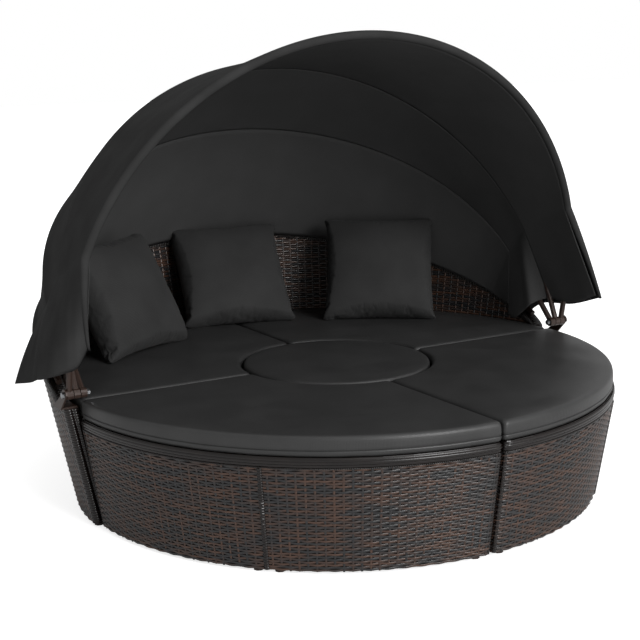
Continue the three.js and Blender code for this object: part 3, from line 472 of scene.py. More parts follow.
def strand_tree():
    """Rows and stakes of flat strands, drawn flat and then laid on the sheet by its UV map.

    In the flat drawing x runs along the sheet, y up it, and z off it. A row passes over one stake and
    under the next, and the next row does the reverse.
    """
    if "Strands" in bpy.data.node_groups:
        return bpy.data.node_groups["Strands"]
    tree = bpy.data.node_groups.new("Strands", "GeometryNodeTree")
    for kind, names in SOCKETS.items():
        for name in names:
            tree.interface.new_socket(name, in_out="INPUT", socket_type=f"NodeSocket{kind}")
    tree.interface.new_socket("Geometry", in_out="OUTPUT", socket_type="NodeSocketGeometry")
    node = partial(add_node, tree)
    plus, less, times, over = (partial(maths, tree, way) for way in ("ADD", "SUBTRACT", "MULTIPLY", "DIVIDE"))
    entry = node("NodeGroupInput").outputs

    def vector(x, y, z):
        return node("ShaderNodeCombineXYZ", {0: x, 1: y, 2: z}).outputs[0]

    def position():
        return node("GeometryNodeInputPosition").outputs[0]

    def split(field):
        return node("ShaderNodeSeparateXYZ", {0: field}).outputs

    def attribute(name):
        return node("GeometryNodeInputNamedAttribute", {"Name": name}, data_type="FLOAT_VECTOR").outputs[0]

    def repeated(size_x, size_y, points_x, points_y, count, start, step):
        """One flat strand, laid so many times a step apart."""
        strip = node("GeometryNodeMeshGrid", {
            "Size X": size_x, "Size Y": size_y, "Vertices X": points_x, "Vertices Y": points_y})
        line = node("GeometryNodeMeshLine", {"Count": count, "Start Location": start, "Offset": step})
        placed = node("GeometryNodeInstanceOnPoints", {
            "Points": line.outputs[0], "Instance": strip.outputs[0]})
        return node("GeometryNodeRealizeInstances", {"Geometry": placed.outputs[0]}).outputs[0]

    def lifted(strands, off, lay):
        """Keeps each strand's own lay for its colour, then takes it off the sheet."""
        kept = node("GeometryNodeStoreNamedAttribute", {"Geometry": strands, "Name": "lay", "Value": lay},
                    data_type="FLOAT_VECTOR", domain="POINT")
        return node("GeometryNodeSetPosition", {
            "Geometry": kept.outputs[0], "Offset": vector(0.0, 0.0, off)}).outputs[0]

    def crown(place, pitch, width):
        """How domed a flat strand is at a place across it: one on its middle, zero at its edges."""
        apart = less(maths(tree, "FRACT", over(place, pitch)), 0.5)
        share = over(times(times(apart, pitch), 2.0), width)
        dome = maths(tree, "MAXIMUM", less(1.0, times(share, share)), 0.0)
        return times(dome, entry["Thickness"])

    # Rows
    first = plus(entry["Foot"], times(entry["Row Pitch"], 0.5))
    rows = repeated(entry["Length"], entry["Row Width"], entry["Row Points"], 4, entry["Rows"],
                    vector(times(entry["Length"], 0.5), first, 0.0), vector(0.0, entry["Row Pitch"], 0.0))
    x, y, _ = split(position())
    above = less(y, entry["Foot"])
    row = maths(tree, "FLOOR", over(above, entry["Row Pitch"]))
    wave = maths(tree, "COSINE", times(plus(over(x, entry["Stake Pitch"]), row), math.pi))
    row_off = plus(plus(times(plus(wave, 1.0), entry["Relief"]), entry["Lift"]),
                   crown(above, entry["Row Pitch"], entry["Row Width"]))
    rows = lifted(rows, row_off, vector(x, times(row, 0.37), 0.0))

    # Stakes
    middle = plus(entry["Foot"], times(entry["Height"], 0.5))
    stakes = repeated(entry["Stake Width"], entry["Height"], 4, entry["Stake Points"], entry["Stakes"],
                      vector(0.0, middle, 0.0), vector(entry["Stake Pitch"], 0.0, 0.0))
    beside = plus(x, times(entry["Stake Pitch"], 0.5))
    stake = maths(tree, "FLOOR", over(beside, entry["Stake Pitch"]))
    stake_off = plus(plus(entry["Relief"], entry["Lift"]),
                     crown(beside, entry["Stake Pitch"], entry["Stake Width"]))
    stakes = lifted(stakes, stake_off, vector(y, times(stake, 0.53), 1.0))

    # Laid on the sheet
    both = node("GeometryNodeJoinGeometry")
    tree.links.new(rows, both.inputs[0])
    tree.links.new(stakes, both.inputs[0])
    stray = noise(tree, vector(times(x, 18.0), times(row, 3.7), 0.5), 1.0, 2.0)
    spot = vector(x, plus(y, times(less(stray, 0.5), entry["Wander"])), 0.0)
    uv = attribute("UVMap")

    def sampled(value):
        return node("GeometryNodeSampleUVSurface", {
            "Mesh": entry["Geometry"], "UV Map": uv, "Sample UV": spot, "Value": value},
            data_type="FLOAT_VECTOR").outputs

    ground, away = sampled(position()), sampled(attribute("out"))
    outside = node("FunctionNodeBooleanMath", {0: ground["Is Valid"]}, operation="NOT").outputs[0]
    off = split(position())[2]
    raised = node("ShaderNodeVectorMath", {0: away["Value"], "Scale": off}, operation="SCALE")
    place = node("ShaderNodeVectorMath", {0: ground["Value"], 1: raised.outputs[0]})
    laid = both
    for kind, values in (("DeleteGeometry", {"Selection": outside}),
                         ("SetPosition", {"Position": place.outputs[0]}),
                         ("SetShadeSmooth", {}),
                         ("SetMaterial", {"Material": entry["Material"]})):
        laid = node(f"GeometryNode{kind}", {"Geometry": laid.outputs[0], **values})
    node("NodeGroupOutput", {"Geometry": laid.outputs[0]})
    return tree


def strands(name, points, along, up, material_name, **sizes):
    """Strands over a sheet of points (columns x rows), whose lengths along and up it are given.

    The sheet's face looks to the side that along x up points to. The sizes are the node tree's inputs.
    """
    shape = points.shape[:2]
    along, up = (np.broadcast_to(np.asarray(way, float), shape) for way in (along, up))
    out = unit(np.cross(np.gradient(points, axis=0), np.gradient(points, axis=1)))
    made = new_object(name, points.reshape(-1, 3), grid_faces(*shape))
    mesh = made.data
    corners = np.empty(len(mesh.loops), int)
    mesh.loops.foreach_get("vertex_index", corners)
    flat = np.stack([along.ravel(), up.ravel()], axis=1)[corners]
    mesh.uv_layers.new(name="UVMap").data.foreach_set("uv", flat.ravel())
    mesh.attributes.new("out", "FLOAT_VECTOR", "POINT").data.foreach_set("vector", out.ravel())
    modifier = made.modifiers.new("Strands", "NODES")
    modifier.node_group = strand_tree()
    values = {"relief": 0.0, "thickness": 0.0011, "lift": 0.0003, "wander": 0.0, "rows": 0, "stakes": 0,
              "row_points": 2, "stake_points": 2, "row_pitch": 0.01, "row_width": 0.008, "stake_pitch": 0.01,
              "stake_width": 0.008, "foot": float(up.min()), "length": float(along.max()),
              "height": float(up.max() - up.min()), "material": material(material_name), **sizes}
    for item in modifier.node_group.interface.items_tree:
        key = item.name.lower().replace(" ", "_")
        if key in values:
            modifier[item.identifier] = values[key]
    return baked(made)


def woven(name, points, along, up, closed=False, relief=0.0017):
    """A woven face: rows over and under upright stakes."""
    sizes = bpy.context.scene.daybed_wicker
    length, height = float(np.max(along)), float(np.max(up) - np.min(up))
    stakes = 2 * round(length / sizes.stake_pitch / 2)
    rows = round(height / sizes.row_pitch)
    return strands(
        name, points, along, up, WOVEN, rows=rows, stakes=stakes + (0 if closed else 1),
        row_points=stakes * 3 + 1, stake_points=rows // 2 + 2, row_pitch=height / rows,
        row_width=sizes.strand_width, stake_pitch=length / stakes, stake_width=sizes.stake_width,
        relief=relief, wander=0.0014, thickness=0.0014)


def wrapped(name, points, along, up, pitch=None, thickness=0.0016, lift=0.0003, gap=0.0007):
    """Strand wrapped round a bar: its turns lie side by side along the bar."""
    length = float(np.max(along))
    turns = max(1, round(length / (pitch or bpy.context.scene.daybed_wicker.wrap_pitch)))
    pitch = length / turns
    return strands(
        name, points, along + pitch / 2, up, WRAPPED, stakes=turns + 1, lift=lift,
        thickness=thickness, stake_points=points.shape[1] * 2, stake_pitch=pitch, stake_width=pitch - gap,
        length=length + pitch)


def banded(name, points, along, up, rows, gap=0.0008):
    """Flat strands laid side by side along a band."""
    pitch = float(np.max(up) - np.min(up)) / rows
    return strands(
        name, points, along, up, WRAPPED, rows=rows, thickness=0.0018,
        row_points=round(float(np.max(along)) / 0.012), row_pitch=pitch, row_width=pitch - gap)


# Plan outlines

def arc(radius, start, end, step=0.010):
    count = max(2, round(abs(end - start) * radius / step))
    angles = np.linspace(start, end, count + 1)
    return np.stack([radius * np.cos(angles), radius * np.sin(angles)], axis=1)


def eased(before, tip, after, steps=6):
    share = np.linspace(0, 1, steps + 1)[:, None]
    return (1 - share) ** 2 * before + 2 * share * (1 - share) * tip + share ** 2 * after


def sector(inner, outer, turn, side, corner, radii):
    """A ring sector's outline, counter-clockwise from the inner corner at angle zero, as four stretches:
    out along the first side, round the outside, in along the other side, and back round the inside.
    The step counts come from radii, so that outlines of one piece match point for point."""
    count = max(2, round((radii[1] - radii[0]) / 0.012))

    def at(radius, angle):
        return np.array([radius * math.cos(angle), radius * math.sin(angle)])

    def side_line(start, a, b, end):
        """Round the corner a, straight on to the corner b, and round it."""
        step = (b - a) / np.linalg.norm(b - a) * corner
        near, far = a + step, b - step
        straight = near + (far - near) * np.linspace(0, 1, count + 1)[1:-1, None]
        return np.concatenate([eased(start, a, near), straight, eased(far, b, end)])

    def round_line(radius, start, end, plan_radius):
        return arc(radius, start, end, abs(end - start) * radius / round(turn * plan_radius / 0.010))[1:-1]

    in_tip, out_tip = math.asin(side / inner), math.asin(side / outer)
    ins, outs = in_tip + corner / inner, out_tip + corner / outer
    first = side_line(at(inner, ins), at(inner, in_tip), at(outer, out_tip), at(outer, outs))
    second = side_line(at(outer, turn - outs), at(outer, turn - out_tip), at(inner, turn - in_tip),
                       at(inner, turn - ins))
    return (first, round_line(outer, outs, turn - outs, radii[1]),
            second, round_line(inner, turn - ins, ins, radii[0]))


def turned(points, angle):
    c, s = math.cos(angle), math.sin(angle)
    return points @ np.array([[c, s], [-s, c]])


def raised(outline, z):
    return np.column_stack([outline, np.full(len(outline), z)])


def closed_line(points):
    return np.concatenate([points, points[:1]])


def ottoman_outline(z, proud, angle):
    """A quarter module's outline at a height, with its outer face standing proud."""
    parts = sector(WELL_RADIUS - proud, FLOOR_RADIUS + TAPER * (z - GLIDE) + proud,
                   math.pi / 2, MODULE_GAP / 2 - proud, CORNER, (CENTRE_RADIUS, RIM_RADIUS))
    return turned(closed_line(np.concatenate(parts)), angle)


def sofa_outline(z, proud, _):
    """The sofa's seat front: in along the left face, round the inside, and out along the right face."""
    first, _, second, inside = sector(
        WELL_RADIUS - proud, BACK_FLOOR_RADIUS + BACK_LEAN * z - 0.001, math.pi,
        MODULE_GAP / 2 - proud, CORNER, (CENTRE_RADIUS, RIM_RADIUS))
    return np.concatenate([second, inside, first])


def centre_outline(z, proud, _):
    radius = DRUM_RADIUS + proud
    return closed_line(arc(radius, 0, 2 * math.pi, 0.010 * radius / DRUM_RADIUS)[:-1])


MODULES = {
    "left_ottoman": (ottoman_outline, math.pi),
    "right_ottoman": (ottoman_outline, math.pi * 1.5),
    "centre_ottoman": (centre_outline, 0.0),
    "sofa": (sofa_outline, 0.0),
}


def upright_sheet(outline, angle, levels):
    """A sheet up a module's side through levels of (height, how far proud), with its lengths."""
    rings = [raised(outline(z, proud, angle), z) for z, proud in levels]
    points = np.stack(rings, axis=1)
    along = lengths(points[:, len(levels) // 2])[:, None]
    up = lengths(np.array([(proud, 0.0, z) for z, proud in levels]))[None, :] + levels[0][0]
    return points, along, up


def half_round(line, out, across, radius, turn=math.pi, steps=8):
    """A half-round sheet along a line, about its points, from one side over the outside to the other."""
    angles = np.linspace(-turn / 2, turn / 2, steps + 1)
    points = (line[:, None] + radius * (np.cos(angles)[None, :, None] * out[:, None]
                                        + np.sin(angles)[None, :, None] * across[:, None]))
    return points, lengths(line)[:, None], (angles * radius)[None, :]


def module_pieces(body):
    """The woven sides, the banded rim and the beaded cord under it, for one module."""
    outline, angle = MODULES[body]
    levels = [(BAND_FOOT + 0.001, 0.0008), (BAND_FOOT + BAND / 3, BAND_PROUD * 0.8),
              (BAND_FOOT + BAND * 2 / 3, BAND_PROUD * 0.8), (SEAT_BASE - 0.001, -0.001)]
    ring = raised(outline(BAND_FOOT, 0.0012, angle), BAND_FOOT - 0.0012)
    up = np.tile([0.0, 0.0, 1.0], (len(ring), 1))
    cord = half_round(ring, np.cross(unit(np.gradient(ring, axis=0)), up), up, 0.0022, steps=4)
    return [woven(f"{body}_weave", *upright_sheet(outline, angle, [(GLIDE, 0.0), (BAND_FOOT, 0.0)]),
                  closed=body != "sofa"),
            banded(f"{body}_band", *upright_sheet(outline, angle, levels), rows=3),
            wrapped(f"{body}_cord", *cord, pitch=0.0055, thickness=0.0007, lift=0.0001, gap=0.0011)]


def ottoman_posts(body):
    """Wrapped half-round posts at both outer corners and over the seam in the middle of the face."""
    angle = MODULES[body][1]
    made = []
    for place, radius, inset in (("start", POST_RADIUS, POST_INSET), ("seam", SEAM_RADIUS, SEAM_INSET),
                                 ("end", POST_RADIUS, POST_INSET)):
        ends = []
        for z in (GLIDE, BAND_FOOT - 0.003):
            reach = FLOOR_RADIUS + TAPER * (z - GLIDE) - inset
            edge = math.asin((MODULE_GAP / 2 + POST_RADIUS) / reach)
            at = {"start": edge, "seam": math.pi / 4, "end": math.pi / 2 - edge}[place]
            ends.append([*turned(np.array([[reach, 0.0]]), angle + at)[0], z])
        foot, head = np.array(ends)
        line = np.linspace(foot, head, 16)
        out = np.tile(unit(foot * [1, 1, 0]), (len(line), 1))
        across = np.cross(out, unit(head - foot))
        points, along, up = half_round(line, out, across, radius, turn=math.pi * 1.2)
        made.append(wrapped(f"{body}_post_{place}", points, along, up, thickness=0.0012))
    return made


# Backrest

def about(angles, radius, z):
    """Points round the bed at some angles, each at its radius and height."""
    return np.stack(np.broadcast_arrays(radius * np.cos(angles), radius * np.sin(angles), z), axis=-1)


def back_inner(z):
    return BACK_FLOOR_RADIUS + BACK_LEAN * z


def back_top(angle):
    climb = np.maximum(0.0, np.sin(angle) - CLIMB_START) / (1 - CLIMB_START)
    return ARM_TOP + (BACK_TOP - ARM_TOP) * climb ** CLIMB


def back_sheet(foot, offset, angles, over=0.009):
    """A sheet up the backrest from a height to just over its top, with its lengths."""
    top = back_top(angles)[:, None] + over
    z = foot + (top - foot) * np.linspace(0, 1, 24)[None, :]
    along = np.abs(angles - angles[0])[:, None] * (back_inner(0.35) + offset) + 0 * z
    return about(angles[:, None], back_inner(z) + offset, z), along, z


def backrest_pieces():
    """Both woven faces of the backrest."""
    angles = np.linspace(ARM_ANGLE, math.pi - ARM_ANGLE, 181)
    return [woven("back_inside_weave", *back_sheet(SEAT_BASE - 0.004, 0.0, angles[::-1]), relief=0.0014),
            woven("back_outside_weave", *back_sheet(GLIDE, BACK_THICKNESS, angles), relief=0.0014)]


def rail_wrap():
    """Strand wrapped over the backrest's top rail, from arm to arm."""
    start = math.asin(CLIMB_START)
    angles = np.linspace(start, math.pi - start, 220)
    z = back_top(angles)
    half, top = RAIL_HALF + RAIL_LIFT, RAIL_HEIGHT + RAIL_LIFT
    side = np.array([(1, -0.004 / top), (1, 0.25), (1, 0.5), (0.9, 0.82), (0.67, 1), (0, 1.03)]) * [half, top]
    section = np.concatenate([side, side[-2::-1] * [-1, 1]])
    radius = (back_inner(z) + BACK_THICKNESS / 2)[:, None] + section[None, :, 0]
    points = about(angles[:, None], radius, z[:, None] + section[None, :, 1])
    return wrapped("top_rail_wrap", points, lengths(points[:, 5])[:, None], lengths(section)[None, :])


def arm_wrap(left):
    """Strand wrapped round an arm end's two ridges, from the floor to the bracket."""
    half = BACK_THICKNESS / 2
    section = np.array([(1.13, 0.9), (1.13, 0.3), (1.13, 0.0), (1.0, -0.55), (0.83, -0.82), (0.5, -1.04),
                        (0.2, -0.93), (0.0, -0.8), (-0.2, -0.93), (-0.5, -1.04), (-0.83, -0.82),
                        (-1.0, -0.55), (-1.03, 0.0), (-1.03, 0.9)])
    z = np.concatenate([GLIDE + half * np.array([0.0, 0.15, 0.33, 0.6, 1.0]),
                        np.linspace(GLIDE + half, ARM_TOP, 26)[1:]])
    rise = np.clip((z - GLIDE) / half, 0, 1)
    reach = 0.9 + 0.1 * rise ** 0.6
    depth = 0.5 + 0.5 * rise ** 0.6
    x = (back_inner(z) + half)[:, None] + half * reach[:, None] * section[None, :, 0]
    y = (ARM_DEPTH * depth)[:, None] * section[None, :, 1] - SEAT_CLEARANCE
    flat = np.stack([x, y], axis=-1) @ np.array([[math.cos(ARM_ANGLE), math.sin(ARM_ANGLE)],
                                                 [-math.sin(ARM_ANGLE), math.cos(ARM_ANGLE)]])
    points = np.concatenate([flat, np.broadcast_to(z[:, None, None], (*x.shape, 1))], axis=-1)
    if left:
        points = points[:, ::-1] * [-1, 1, 1]
    return wrapped("left_arm_wrap" if left else "right_arm_wrap", points, (z - z[0])[:, None],
                   lengths(section * [half, ARM_DEPTH])[None, :], thickness=0.0014)


# Cushions

# A cushion's side from its underside up: shares of its thickness, and insets in its edge's own size. The
# seam lies between the levels of index 4 and 6, and the side ends at SIDE_LEVELS.
CUSHION_LEVELS = [
    (0.0, 0.5), (0.04, 0.25), (0.1, 0.08), (0.2, 0.01), (0.28, 0.0), (0.305, 0.16), (0.33, 0.0),
    (0.46, -0.02), (0.62, 0.0), (0.76, 0.04), (0.86, 0.14), (0.92, 0.3), (0.955, 0.5), (0.98, 0.85),
    (0.995, 1.5), (1.01, 2.6), (1.03, 4.5)]
SEAM_LEVELS = (4, 6)
SIDE_LEVELS = 13
CREASE = 0.0007
SWELL = 0.0009


def cushion(name, outline_at, inward):
    """A foam cushion in a sewn cover, from its outline at each inset: a zip seam runs round its lower
    third, and the top swells to a shallow crown. Its seam and faint creases move with it as one mesh."""
    bottom = SEAT_BASE + SEAT_CLEARANCE
    rings = [raised(outline_at(CUSHION_EDGE * inset), bottom + CUSHION_THICKNESS * up)
             for up, inset in CUSHION_LEVELS]
    crown = np.linspace(0.075, inward, 8)
    top = CUSHION_THICKNESS * CUSHION_LEVELS[-1][0]
    for inset in crown:
        share = (inset - crown[0]) / (crown[-1] - crown[0])
        rise = top + (CUSHION_CROWN - 0.0018) * math.sin(share * math.pi / 2)
        rings.append(raised(outline_at(inset), bottom + rise))
    count, last = len(rings[0]), len(rings) - 1
    points = np.concatenate(rings)
    ring_of = np.arange(len(points)) // count
    seam = rings[SEAM_LEVELS[0]]
    around = np.tile(lengths(seam), len(rings))
    outward = np.concatenate([unit(seam - rings[min(i + 1, last)] + 1e-9) if i > SEAM_LEVELS[0] else
                              unit(seam - rings[-1]) for i in range(len(rings))])
    outward[:, 2] = 0
    crease = smooth_noise(np.column_stack([around * 60, points[:, 2] * 35]), SEED)
    swell = smooth_noise(points[:, :2] * 14, SEED + 1)
    points = points + outward * (CREASE * crease * np.where(ring_of < SIDE_LEVELS, 1.0, 0.45))[:, None]
    points[:, 2] += (SWELL * swell * np.clip((ring_of - SIDE_LEVELS) / 4, 0, 1)
                     * np.clip((last - ring_of) / 2, 0, 1))
    faces = [(a + i, a + (i + 1) % count, a + count + (i + 1) % count, a + count + i)
             for a in range(0, last * count, count) for i in range(count)]
    faces += [tuple(range(count))[::-1], tuple(range(last * count, len(points)))]
    made = new_object(name, points, faces)
    dress(made, "Coated seat polyester", "Zip seam")
    # Painted shade: the band round the zip line takes the near-black seam colour for the shade in its groove.
    for polygon in made.data.polygons[SEAM_LEVELS[0] * count:SEAM_LEVELS[1] * count]:
        polygon.material_index = 1
    return made


def quarter_cushion(name, outer, angle):
    def outline_at(inset):
        parts = sector(CENTRE_RADIUS + CENTRE_CUSHION_GAP / 2 + inset, outer - inset, math.pi / 2,
                       CUSHION_GAP / 2 + inset, CUSHION_EDGE + inset * 0.25, (CENTRE_RADIUS, outer))
        return turned(np.concatenate(parts), angle)
    return cushion(name, outline_at, 0.19)


def round_cushion(name):
    radius = CENTRE_RADIUS - CENTRE_CUSHION_GAP / 2

    def outline_at(inset):
        return arc(radius - inset, 0, 2 * math.pi, 0.010 * (1 - inset / radius))[:-1]
    return cushion(name, outline_at, 0.265)


# Pillows

PILLOW = 0.392
PILLOW_THICKNESS = 0.130
PILLOW_DRAW = 0.06
PILLOW_FULL = 0.42
PILLOW_CELLS = 56
# Each pillow's turn and lean in degrees, and how far it is moved aside from its CAD node
PILLOWS = {"right_pillow": (57, 36, 0.0), "middle_pillow": (77, 40, 0.0), "left_pillow": (118, 29, 0.010)}
COVER = {"quality": 6, "use_pressure": True, "uniform_pressure_force": 4, "tension_stiffness": 12,
         "compression_stiffness": 12, "bending_stiffness": 0.2, "shrink_min": -0.05}


def pillow(name):
    """A square pillow with drawn-in sides, set where its CAD node stands."""
    u, v = np.meshgrid(*[np.linspace(-1, 1, PILLOW_CELLS + 1)] * 2, indexing="ij")
    corner = 1 - 0.035 * (u * v) ** 10
    x = PILLOW / 2 * u * (1 - PILLOW_DRAW * (1 - v * v) * u * u) * corner
    z = PILLOW / 2 * v * (1 - PILLOW_DRAW * (1 - u * u) * v * v) * corner
    depth = PILLOW_THICKNESS / 2 * np.maximum(0, (1 - u * u) * (1 - v * v)) ** PILLOW_FULL
    sides = [np.stack([x, side * depth, z], axis=-1).reshape(-1, 3) for side in (-1, 1)]
    faces = grid_faces(PILLOW_CELLS + 1, PILLOW_CELLS + 1)
    faces += [tuple(x.size + i for i in reversed(face)) for face in faces]
    face_turn, lean, aside = PILLOWS[name]
    turn = (Matrix.Rotation(math.radians(face_turn - 90), 3, "Z")
            @ Matrix.Rotation(math.radians(-lean), 3, "X"))
    points = np.concatenate(sides) @ np.array(turn).T
    low, high = (np.array(end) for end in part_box(name))
    place = (low + high) / 2 - (points.min(axis=0) + points.max(axis=0)) / 2 - BED
    place[2] = low[2] - points[:, 2].min()
    place[0] -= aside
    made = new_object(f"{name}_cover", points + place, faces)
    outward(made, weld=0.0004)
    return made


def inflated(made, voxel=0.005, frames=20, most=0.012):
    """The pillow blown up a little as cloth, so that its cover creases towards its corners."""
    made.data.remesh_voxel_size = voxel
    select_only([made])
    bpy.ops.object.voxel_remesh()
    before = np.array([v.co for v in made.data.vertices])
    cloth = made.modifiers.new("Cover", "CLOTH").settings
    for key, value in COVER.items():
        setattr(cloth, key, value)
    cloth.effector_weights.gravity = 0
    scene = bpy.context.scene
    for frame_number in range(1, frames + 1):
        scene.frame_set(frame_number)
    baked(made)
    scene.frame_set(1)
    move = np.array([v.co for v in made.data.vertices]) - before
    far = np.linalg.norm(move, axis=1, keepdims=True)
    after = before + move * np.minimum(1, most / np.maximum(far, 1e-9))
    made.data.vertices.foreach_set("co", after.ravel())
    made.modifiers.new("Finer", "SUBSURF").levels = 1
    baked(made)
    made.data.shade_smooth()
    return made


# Canopy

def arch_of(name, off):
    """Points over the part of a leaned hoop that cloth lies on, stood off outward, and the ways outward."""
    lean, rise, leg, half = HOOPS[name]
    angles = np.linspace(0, math.pi, HOOP_POINTS)
    bow = np.stack([half * np.cos(angles), 0 * angles, leg + (rise - leg) * np.sin(angles)], axis=1)
    line = np.concatenate([[[half, 0, 0]], bow, [[-half, 0, 0]]])
    far = lengths(line)
    flare = FLARES[name][0]
    places = flare + (far[-1] - 2 * flare) * np.linspace(0, 1, ARCH + 1)

    def at(places):
        return np.stack([np.interp(places, far, line[:, k]) for k in range(3)], axis=1)

    ahead = unit(at(places + 0.002) - at(places - 0.002))
    outward = np.stack([ahead[:, 2], 0 * places, -ahead[:, 0]], axis=1)
    turn = np.array([[1, 0, 0], [0, math.cos(lean), math.sin(lean)], [0, -math.sin(lean), math.cos(lean)]])
    return (at(places) + outward * off) @ turn.T + PIVOT, outward @ turn.T


def curve_through(stops, share):
    """Points on the smooth curve through some stops."""
    stops = np.array(stops, float)
    far = lengths(stops) / lengths(stops)[-1]
    slopes = np.gradient(stops, far, axis=0)
    at = np.clip(np.searchsorted(far, share, side="right") - 1, 0, len(stops) - 2)
    span = (far[at + 1] - far[at])[:, None]
    t = (np.asarray(share)[:, None] - far[at][:, None]) / span
    return ((2 * t ** 3 - 3 * t ** 2 + 1) * stops[at] + (t ** 3 - 2 * t ** 2 + t) * slopes[at] * span
            + (3 * t ** 2 - 2 * t ** 3) * stops[at + 1] + (t ** 3 - t ** 2) * slopes[at + 1] * span)


def skirts(tops, hems, knees):
    """Skirt points from the hem up to the arch, for each row, on one side."""
    middle = tops + (hems - tops) * 0.45
    middle[:, 0] += np.sign(tops[:, 0]) * knees
    share = SKIRT_SHARE[:, None, None]
    return (1 - share) ** 2 * hems + 2 * share * (1 - share) * middle + share ** 2 * tops


def solid_sheet(name, rows, cloth):
    """A thin closed sheet about rows of points."""
    normal = unit(np.cross(np.gradient(rows, axis=0), np.gradient(rows, axis=1)))
    points = np.concatenate([(rows + side * CLOTH_THICKNESS / 2 * normal).reshape(-1, 3) for side in (1, -1)])
    count, columns = rows.shape[:2]
    total = count * columns
    faces = grid_faces(count, columns)
    faces += [tuple(total + i for i in reversed(face)) for face in faces]
    grid = np.arange(total).reshape(count, columns)
    rim = np.concatenate([grid[0], grid[1:, -1], grid[-1, -2::-1], grid[-2::-1, 0]]).tolist()
    faces += [(b, a, total + a, total + b) for a, b in zip(rim, rim[1:])]
    made = new_object(name, points, faces)
    dress(made, cloth)
    outward(made)
    return made


def hoop_panel(name, fold, row_count, sag, off=CLOTH_OFFSET, sleeve=False):
    """Cloth between two hoops with its right and left skirts, stood off outward from the tubes. It sags a
    little between them, and its skirts swell in folds toward the hem. A sleeve, where that is asked for,
    rolls it round the first hoop, and then its left skirt stands out round the hoop's leg."""
    first, last, _ = JOINS[name.split()[0]]
    share = np.linspace(0, 1, row_count + 1)
    ends = [arch_of(one, off) for one in (first, last)]
    part = share[:, None, None]
    arch, out = (ends[0][k][None] * (1 - part) + ends[1][k][None] * part for k in (0, 1))
    place = np.linspace(0, 1, ARCH + 1)[None, :]
    pulled = smooth_noise(np.stack(np.broadcast_arrays(place * 30, share[:, None] * 1.2), axis=-1), SEED + 2)
    bow = np.sin(share * math.pi)[:, None]
    arch = arch - unit(out) * ((sag + WRINKLE * pulled) * bow)[..., None]
    knees = (FLARES[first][1] * (1 - share) + FLARES[last][1] * share) * (off > 0)
    depth = 1 - SKIRT_SHARE[:, None]
    push = LEG_PUSH * np.clip(2 - share / 0.36, 0, 1) * sleeve
    sides = []
    for hem, column, seed in ((HEMS[name][0], 0, 3), (HEMS[name][1], -1, 4)):
        side = skirts(arch[:, column], curve_through(hem, share), knees)
        away = np.sign(side[..., 0])
        swell = fold * smooth_noise(np.column_stack([share * 7, share * 0]), SEED + seed)[None, :]
        leg = push * (4 * depth * (1 - depth)) ** 0.35 * (column == -1)
        side[..., 0] += away * (swell * depth ** 1.3 * bow[:, 0] + 0.5 * leg)
        side[..., 1] -= leg
        sides.append(side.transpose(1, 0, 2))
    rows = np.concatenate([sides[0], arch, sides[1][:, ::-1]], axis=1)
    return np.concatenate([sleeve_rows(first, rows[0]), rows]) if sleeve else rows


def sleeve_rows(name, edge):
    """The cloth's front edge rolled forward round its hoop and sewn down inside; on the skirts it is a
    rolled hem that narrows toward their corners."""
    lean = HOOPS[name][0]
    forward = np.array([0.0, -math.cos(lean), math.sin(lean)])
    out = arch_of(name, CLOTH_OFFSET)[1]
    out = np.concatenate([np.repeat(out[:1], SKIRT, axis=0), out, np.repeat(out[-1:], SKIRT, axis=0)])
    radius = np.full((len(edge), 1), CLOTH_OFFSET)
    radius[:SKIRT, 0] = np.linspace(0.004, CLOTH_OFFSET, SKIRT)
    radius[-SKIRT:, 0] = radius[:SKIRT, 0][::-1]
    middle = edge - out * radius
    return np.array([middle + radius * (out * math.cos(angle) + forward * math.sin(angle))
                     for angle in np.linspace(math.radians(215), math.radians(14), 8)])


def rear_angles():
    """Where round the backrest each of the rear cloth's columns comes down."""
    start, turn = math.radians(16), math.radians(3)
    half = start + turn + (math.pi / 2 - start - turn) * np.linspace(0, 1, ARCH // 2 + 1)
    right = np.concatenate([start + turn * SKIRT_SHARE, half])
    return np.concatenate([right, math.pi - right[-2::-1]])


def rear_line(off, hem):
    """The line that the rear cloth hangs from: up its right skirt, over the third hoop, and down the left."""
    arch = arch_of("third", off)[0]
    knee = np.array([FLARES["third"][1]]) * (off > 0)
    right = skirts(arch[:1], np.array([hem]), knee)[:, 0]
    left = skirts(arch[-1:], np.array([hem]) * [-1, 1, 1], knee)[:, 0]
    return np.concatenate([right, arch, left[::-1]])


def falling(top_line, foot_line, deep, seed):
    """Rows of cloth from one line down to another, hanging in a shallow bow with long upright creases."""
    count = len(top_line)
    side = np.minimum(1, np.minimum(np.arange(count), np.arange(count)[::-1]) / (2 * SKIRT))
    crease = smooth_noise(np.column_stack([np.linspace(0, 26, count), np.zeros(count)]), SEED + seed)
    face = unit(np.cross(foot_line - top_line, np.gradient(top_line, axis=0)))
    face *= -np.sign(np.sum(face * (foot_line - PIVOT), axis=1))[:, None]
    return [top_line + (foot_line - top_line) * share
            + face * (math.sin(share * math.pi) * (deep + 0.004 * crease) * side)[:, None]
            for share in np.linspace(0.0, 1, 26)]


